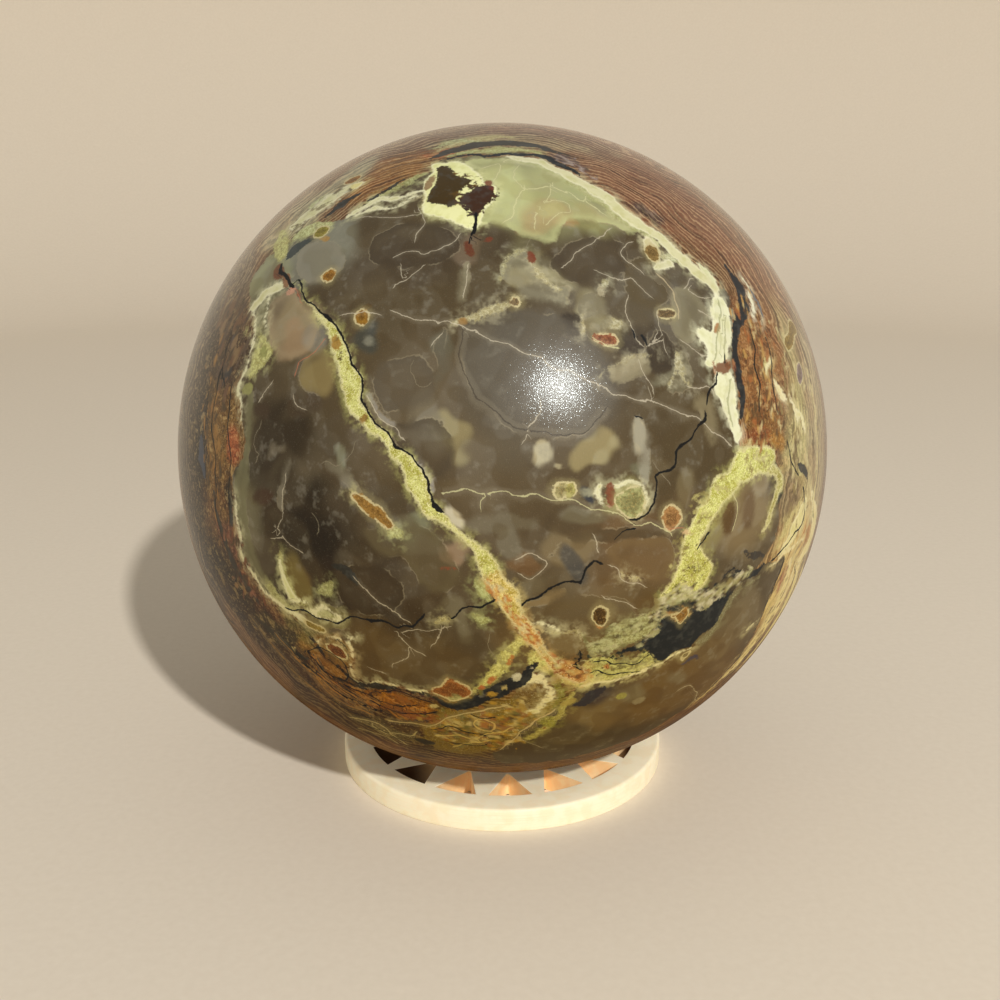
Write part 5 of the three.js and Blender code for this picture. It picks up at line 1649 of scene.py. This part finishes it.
# %% Pockets and spots
dot_in = frayed("dot", 0.9, by_tiny=0.4)
spot = stone.mix(0.25, stone.colour("dot_paint"), light(110, 90, 56))
spot = stone.mix(fine.rise(0.4, 0.66) * 0.3, spot, light(104, 82, 50))
rock = stone.mix(dot_in.rise(-0.16, 0.3) * 0.92, rock, spot)
gem_in = frayed("gem", 0.7, by_tiny=0.3)
amber = stone.mix(0.25, stone.colour("gem_paint"), light(122, 92, 46))
amber = stone.mix(gem_in.rise(0.5, 1.3) * 0.5, amber, tinted(amber, 146, 128, 100))
amber = stone.mix(fine.rise(0.36, 0.66) * 0.5, amber, tinted(amber, 152, 142, 116))
amber = stone.mix(tiny.rise(0.54, 0.7) * 0.35, amber, light(214, 178, 110))
amber = stone.mix(gem_in.rise(0.46, 0.24) * medium.rise(0.34, 0.48) * 0.85, amber, light(200, 190, 146))
rock = stone.mix(gem_in.rise(-1.2, 0.0) * 0.25, rock, light(168, 158, 112))
rock = stone.mix(gem_in.rise(-0.12, 0.16), rock, amber)
print("with pockets:", len(stone.tree.nodes), "nodes")

# %% [markdown]
# A line is drawn where its half-width is more than the distance from it. Noise shifts the
# distance, so that lines look broken rather than drawn, and changes the width along the way.
# A white hairline also has a faint veil, because a healed crack runs down into the stone.

# %% Hairlines and cracks
jag = (fine - 0.5) * 0.4 + (medium - 0.5) * 0.5
hair_half = stone.value("hair_half")
hair_off = abs(stone.value("hair_side") + jag)
hair_in = hair_half * (0.05 + fine * 0.45) - hair_off
veil = (hair_half * 4.0 - hair_off).rise(-0.3, 0.5) * hair_half.rise(0.06, 0.16)
rock = stone.mix(veil * 0.12, rock, light(168, 160, 138))
rock = stone.mix(hair_in.rise(-0.09, 0.03) * 0.66, rock, stone.colour("hair_paint"))
crack_room = stone.value("crack_half") * (0.2 + medium * 1.3)
crack_in = crack_room - abs(stone.value("crack_side") + jag)
cracked = crack_in.rise(-0.07, 0.05)
rock = stone.mix(cracked, rock, light(14, 13, 12))

# %% Painted shade towards the foot
# Painted shade: the colour is darkened and warmed towards the foot, against the bright floor the ball mirrors
# there.
rock = stone.mix(low, rock, light(246, 230, 176), "MULTIPLY")
print("with lines:", len(stone.tree.nodes), "nodes")

# %% [markdown]
# ## Gloss
# The ball is polished, so it mirrors the lamp as a small bright core, with a wide bluish bloom
# around it. One roughness can't give both. The smooth base makes the core, and a very shallow
# relief, finer than anything else on the ball, breaks it into sparks. A rougher coat over it
# makes the bloom. Veins and cracks take less polish. Near the foot the ball would mirror the
# bright table, which the real one hardly does, so a matt shader takes over there.

# %% Shader of the stone
POLISH = 0.12
SCRATCHES_PER_MM = 6.5
SCRATCH_DEPTH = 0.00002
gloss = POLISH + vein_in.rise(0.0, 0.3) * 0.14 + cracked * 0.4
scratches = stone.noise(mm, SCRATCHES_PER_MM, 0.0)
relief = {"Strength": 1.0, "Distance": SCRATCH_DEPTH, "Height": scratches}
bumped = stone.node("Bump", None, relief, "Normal")
shader = stone.node("BsdfPrincipled", None, {
    "Base Color": rock,
    "Roughness": gloss,
    "IOR": 1.46,
    "Specular IOR Level": 0.16,
    "Specular Tint": (0.86, 0.97, 1.0, 1.0),
    "Coat Weight": 0.36,
    "Coat Roughness": 0.33,
    "Coat IOR": 1.5,
    "Normal": bumped,
})
matte = stone.node("BsdfDiffuse", None, {"Color": rock})
held = stone.node("MixShader", None, {0: low * 0.85, 1: shader, 2: matte})
ball.data.materials.append(stone.close(held))

# %% [markdown]
# ## The ring stand
# The stand is a flat cream ring, moulded or printed, with a band of triangles cut through it.
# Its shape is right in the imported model, so turning a new one would gain nothing, but the edges
# of its openings are knife-sharp. A copy is cleaned of doubled corners and its flat faces are
# joined, and then a bevel rounds every edge by a fifth of a millimetre.

# %% Stand
EDGE_ROUND = 0.00022
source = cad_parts["ring_stand"]
stand_mesh = source.data.copy()
stand_mesh.name = "pierced_ring"
shape = bmesh.new()
shape.from_mesh(stand_mesh)
bmesh.ops.remove_doubles(shape, verts=shape.verts, dist=1e-6)
bmesh.ops.recalc_face_normals(shape, faces=shape.faces)
bmesh.ops.dissolve_limit(shape, angle_limit=math.radians(0.5), verts=shape.verts, edges=shape.edges)
shape.to_mesh(stand_mesh)
shape.free()
stand = bpy.data.objects.new("pierced_ring", stand_mesh)
bpy.context.collection.objects.link(stand)
bevel = stand.modifiers.new("soft edges", "BEVEL")
bevel.width = EDGE_ROUND
bevel.segments = 3
bevel.limit_method = "ANGLE"
bevel.angle_limit = math.radians(35)
bevel.harden_normals = False
stand_mesh.polygons.foreach_set("use_smooth", np.full(len(stand_mesh.polygons), True))
stand_mesh.set_sharp_from_angle(angle=math.radians(40))
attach(stand, "root")
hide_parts("ring_stand")
print("pierced_ring has", len(stand_mesh.polygons), "faces before its bevel")

# %% [markdown]
# The stand is matt cream with a slight speck, and its outer wall shows very faint layers. The
# walls of the openings are given painted light: amber, for the light that comes through the
# cream. Only their place tells them apart: they stand upright and lie between the hole and the
# outer band. On the left the ball shades them, and there and at the far right painted shade
# makes them go dark. The whole stand also glows faintly in its own colour, which is painted light.

# %% Finish of the stand
OPENING_FAR = 28.9
OPENING_NEAR = 17.0
cream = Finish("cream_stand")
stand_mm = cream.vector("SCALE", cream.node("TexCoord", out="Object"), MM)
x, y = (cream.node("SeparateXYZ", None, {0: stand_mm}, axis) for axis in "XY")
radius = (x * x + y * y).maths("SQRT")
facing = cream.node("NewGeometry", out="Normal")
upright = 1 - abs(cream.node("SeparateXYZ", None, {0: facing}, "Z")).rise(0.25, 0.6)
inner = upright * radius.rise(OPENING_FAR + 0.5, OPENING_FAR) * radius.rise(OPENING_NEAR, OPENING_NEAR + 1)
layers = cream.noise(cream.vector("MULTIPLY", stand_mm, (0.10, 0.10, 5.0)), 1.0, 3.0)
mottle = cream.noise(stand_mm, 0.35, 3.0)
speck = cream.noise(stand_mm, 5.0, 2.0)
body = cream.mix(mottle.rise(0.4, 0.65), light(250, 241, 212), light(246, 234, 200))
body = cream.mix(layers.rise(0.5, 0.7) * upright * 0.2, body, light(232, 214, 172))
body = cream.mix(speck.rise(0.62, 0.75) * 0.15, body, light(214, 194, 150))
# Painted light on the opening walls: amber, as light coming through the cream would make them.
wall_light_and_shade = cream.mix(mottle.rise(0.35, 0.6), light(252, 222, 172), light(246, 206, 148))
# Painted shade: the walls on the left, in the ball's shadow, and those at the far right go dark.
wall_light_and_shade = cream.mix(x.rise(-9.0, -19.0), wall_light_and_shade, light(66, 42, 24))
wall_light_and_shade = cream.mix(x.rise(24.0, 27.0), wall_light_and_shade, light(90, 58, 34))
body = cream.mix(inner, body, wall_light_and_shade)
relief = {"Strength": 0.4, "Distance": 0.0002, "Height": layers * upright * 0.6 + speck * 0.3}
stand_bump = cream.node("Bump", None, relief, "Normal")
stand_shader = cream.node("BsdfPrincipled", None, {
    "Base Color": body,
    "Roughness": 0.5 + speck * 0.12,
    "Normal": stand_bump,
    # Painted light: the stand glows faintly in its own colour, as if lit through the cream.
    "Emission Color": body,
    "Emission Strength": 0.1,
    "Subsurface Weight": 0.08,
    "Subsurface Radius": (0.9, 0.5, 0.25),
    "Subsurface Scale": 0.002,
})
stand.data.materials.clear()
stand.data.materials.append(cream.close(stand_shader))

# %% [markdown]
# ## Floor and light
# The studio is a shallow bowl of pale card: flat under the ball and curved up on all sides, so
# that no view shows an edge. A profile of floor, bend and wall is turned round the upright axis.

# %% Bowl
FLOOR_RADIUS = 0.62
BEND = 0.25
WALL = 0.45
corner = np.linspace(0, math.pi / 2, 16)
profile = np.array(
    [(r, 0.0) for r in (0.02, 0.1, 0.3, FLOOR_RADIUS)]
    + [(FLOOR_RADIUS + BEND * math.sin(c), BEND - BEND * math.cos(c)) for c in corner[1:]]
    + [(FLOOR_RADIUS + BEND, WALL)]
)
SIDES = 96
spin = np.arange(SIDES) * 2 * math.pi / SIDES
bowl_points = np.stack([
    profile[:, 0, None] * np.cos(spin),
    profile[:, 0, None] * np.sin(spin),
    np.repeat(profile[:, 1, None], SIDES, 1),
], -1).reshape(-1, 3)
bowl_faces = ring_faces(len(profile), SIDES)[:, ::-1].tolist() + [list(range(SIDES))]
bowl = make_mesh("studio_floor", bowl_points, bowl_faces)
card = Finish("pale_card")
card_mm = card.vector("SCALE", card.node("TexCoord", out="Object"), MM)
pulp = card.noise(card_mm, 0.6, 1.0, 0.6)
tone = card.mix(pulp, light(226, 215, 198), light(233, 223, 207))
card_shader = card.node("BsdfPrincipled", None, {"Base Color": tone, "Roughness": 0.85})
bowl.data.materials.append(card.close(card_shader))

# %% [markdown]
# One soft lamp stands to the right of the viewer and above, which puts the bright core on the
# upper right of the show face and the shadow behind to the left. A pale world fills the rest.

# %% Lamp and world
LAMP_SIDE = math.radians(21)
LAMP_HEIGHT = math.radians(34)
LAMP_DISTANCE = 1.6
LAMP_SIZE = 0.06
LAMP_POWER = 21
SKY_STRENGTH = 0.33
aim = np.array([
    math.sin(LAMP_SIDE) * math.cos(LAMP_HEIGHT),
    -math.cos(LAMP_SIDE) * math.cos(LAMP_HEIGHT),
    math.sin(LAMP_HEIGHT),
])
lamp_data = bpy.data.lights.new("soft_lamp", "AREA")
lamp_data.shape = "DISK"
lamp_data.size = LAMP_SIZE
lamp_data.energy = LAMP_POWER
lamp_data.color = (1.0, 0.97, 0.92)
lamp = bpy.data.objects.new("soft_lamp", lamp_data)
lamp.location = BALL_CENTRE + aim * LAMP_DISTANCE
lamp.rotation_euler = (math.pi / 2 - LAMP_HEIGHT, 0, LAMP_SIDE)
bpy.context.collection.objects.link(lamp)
world = bpy.data.worlds.new("pale_room")
world.use_nodes = True
sky = world.node_tree.nodes["Background"]
sky.inputs["Color"].default_value = (1.0, 0.97, 0.9, 1.0)
sky.inputs["Strength"].default_value = SKY_STRENGTH
bpy.context.scene.world = world
bpy.context.scene.view_settings.view_transform = "Standard"
print("lamp at", [round(c, 3) for c in lamp.location])
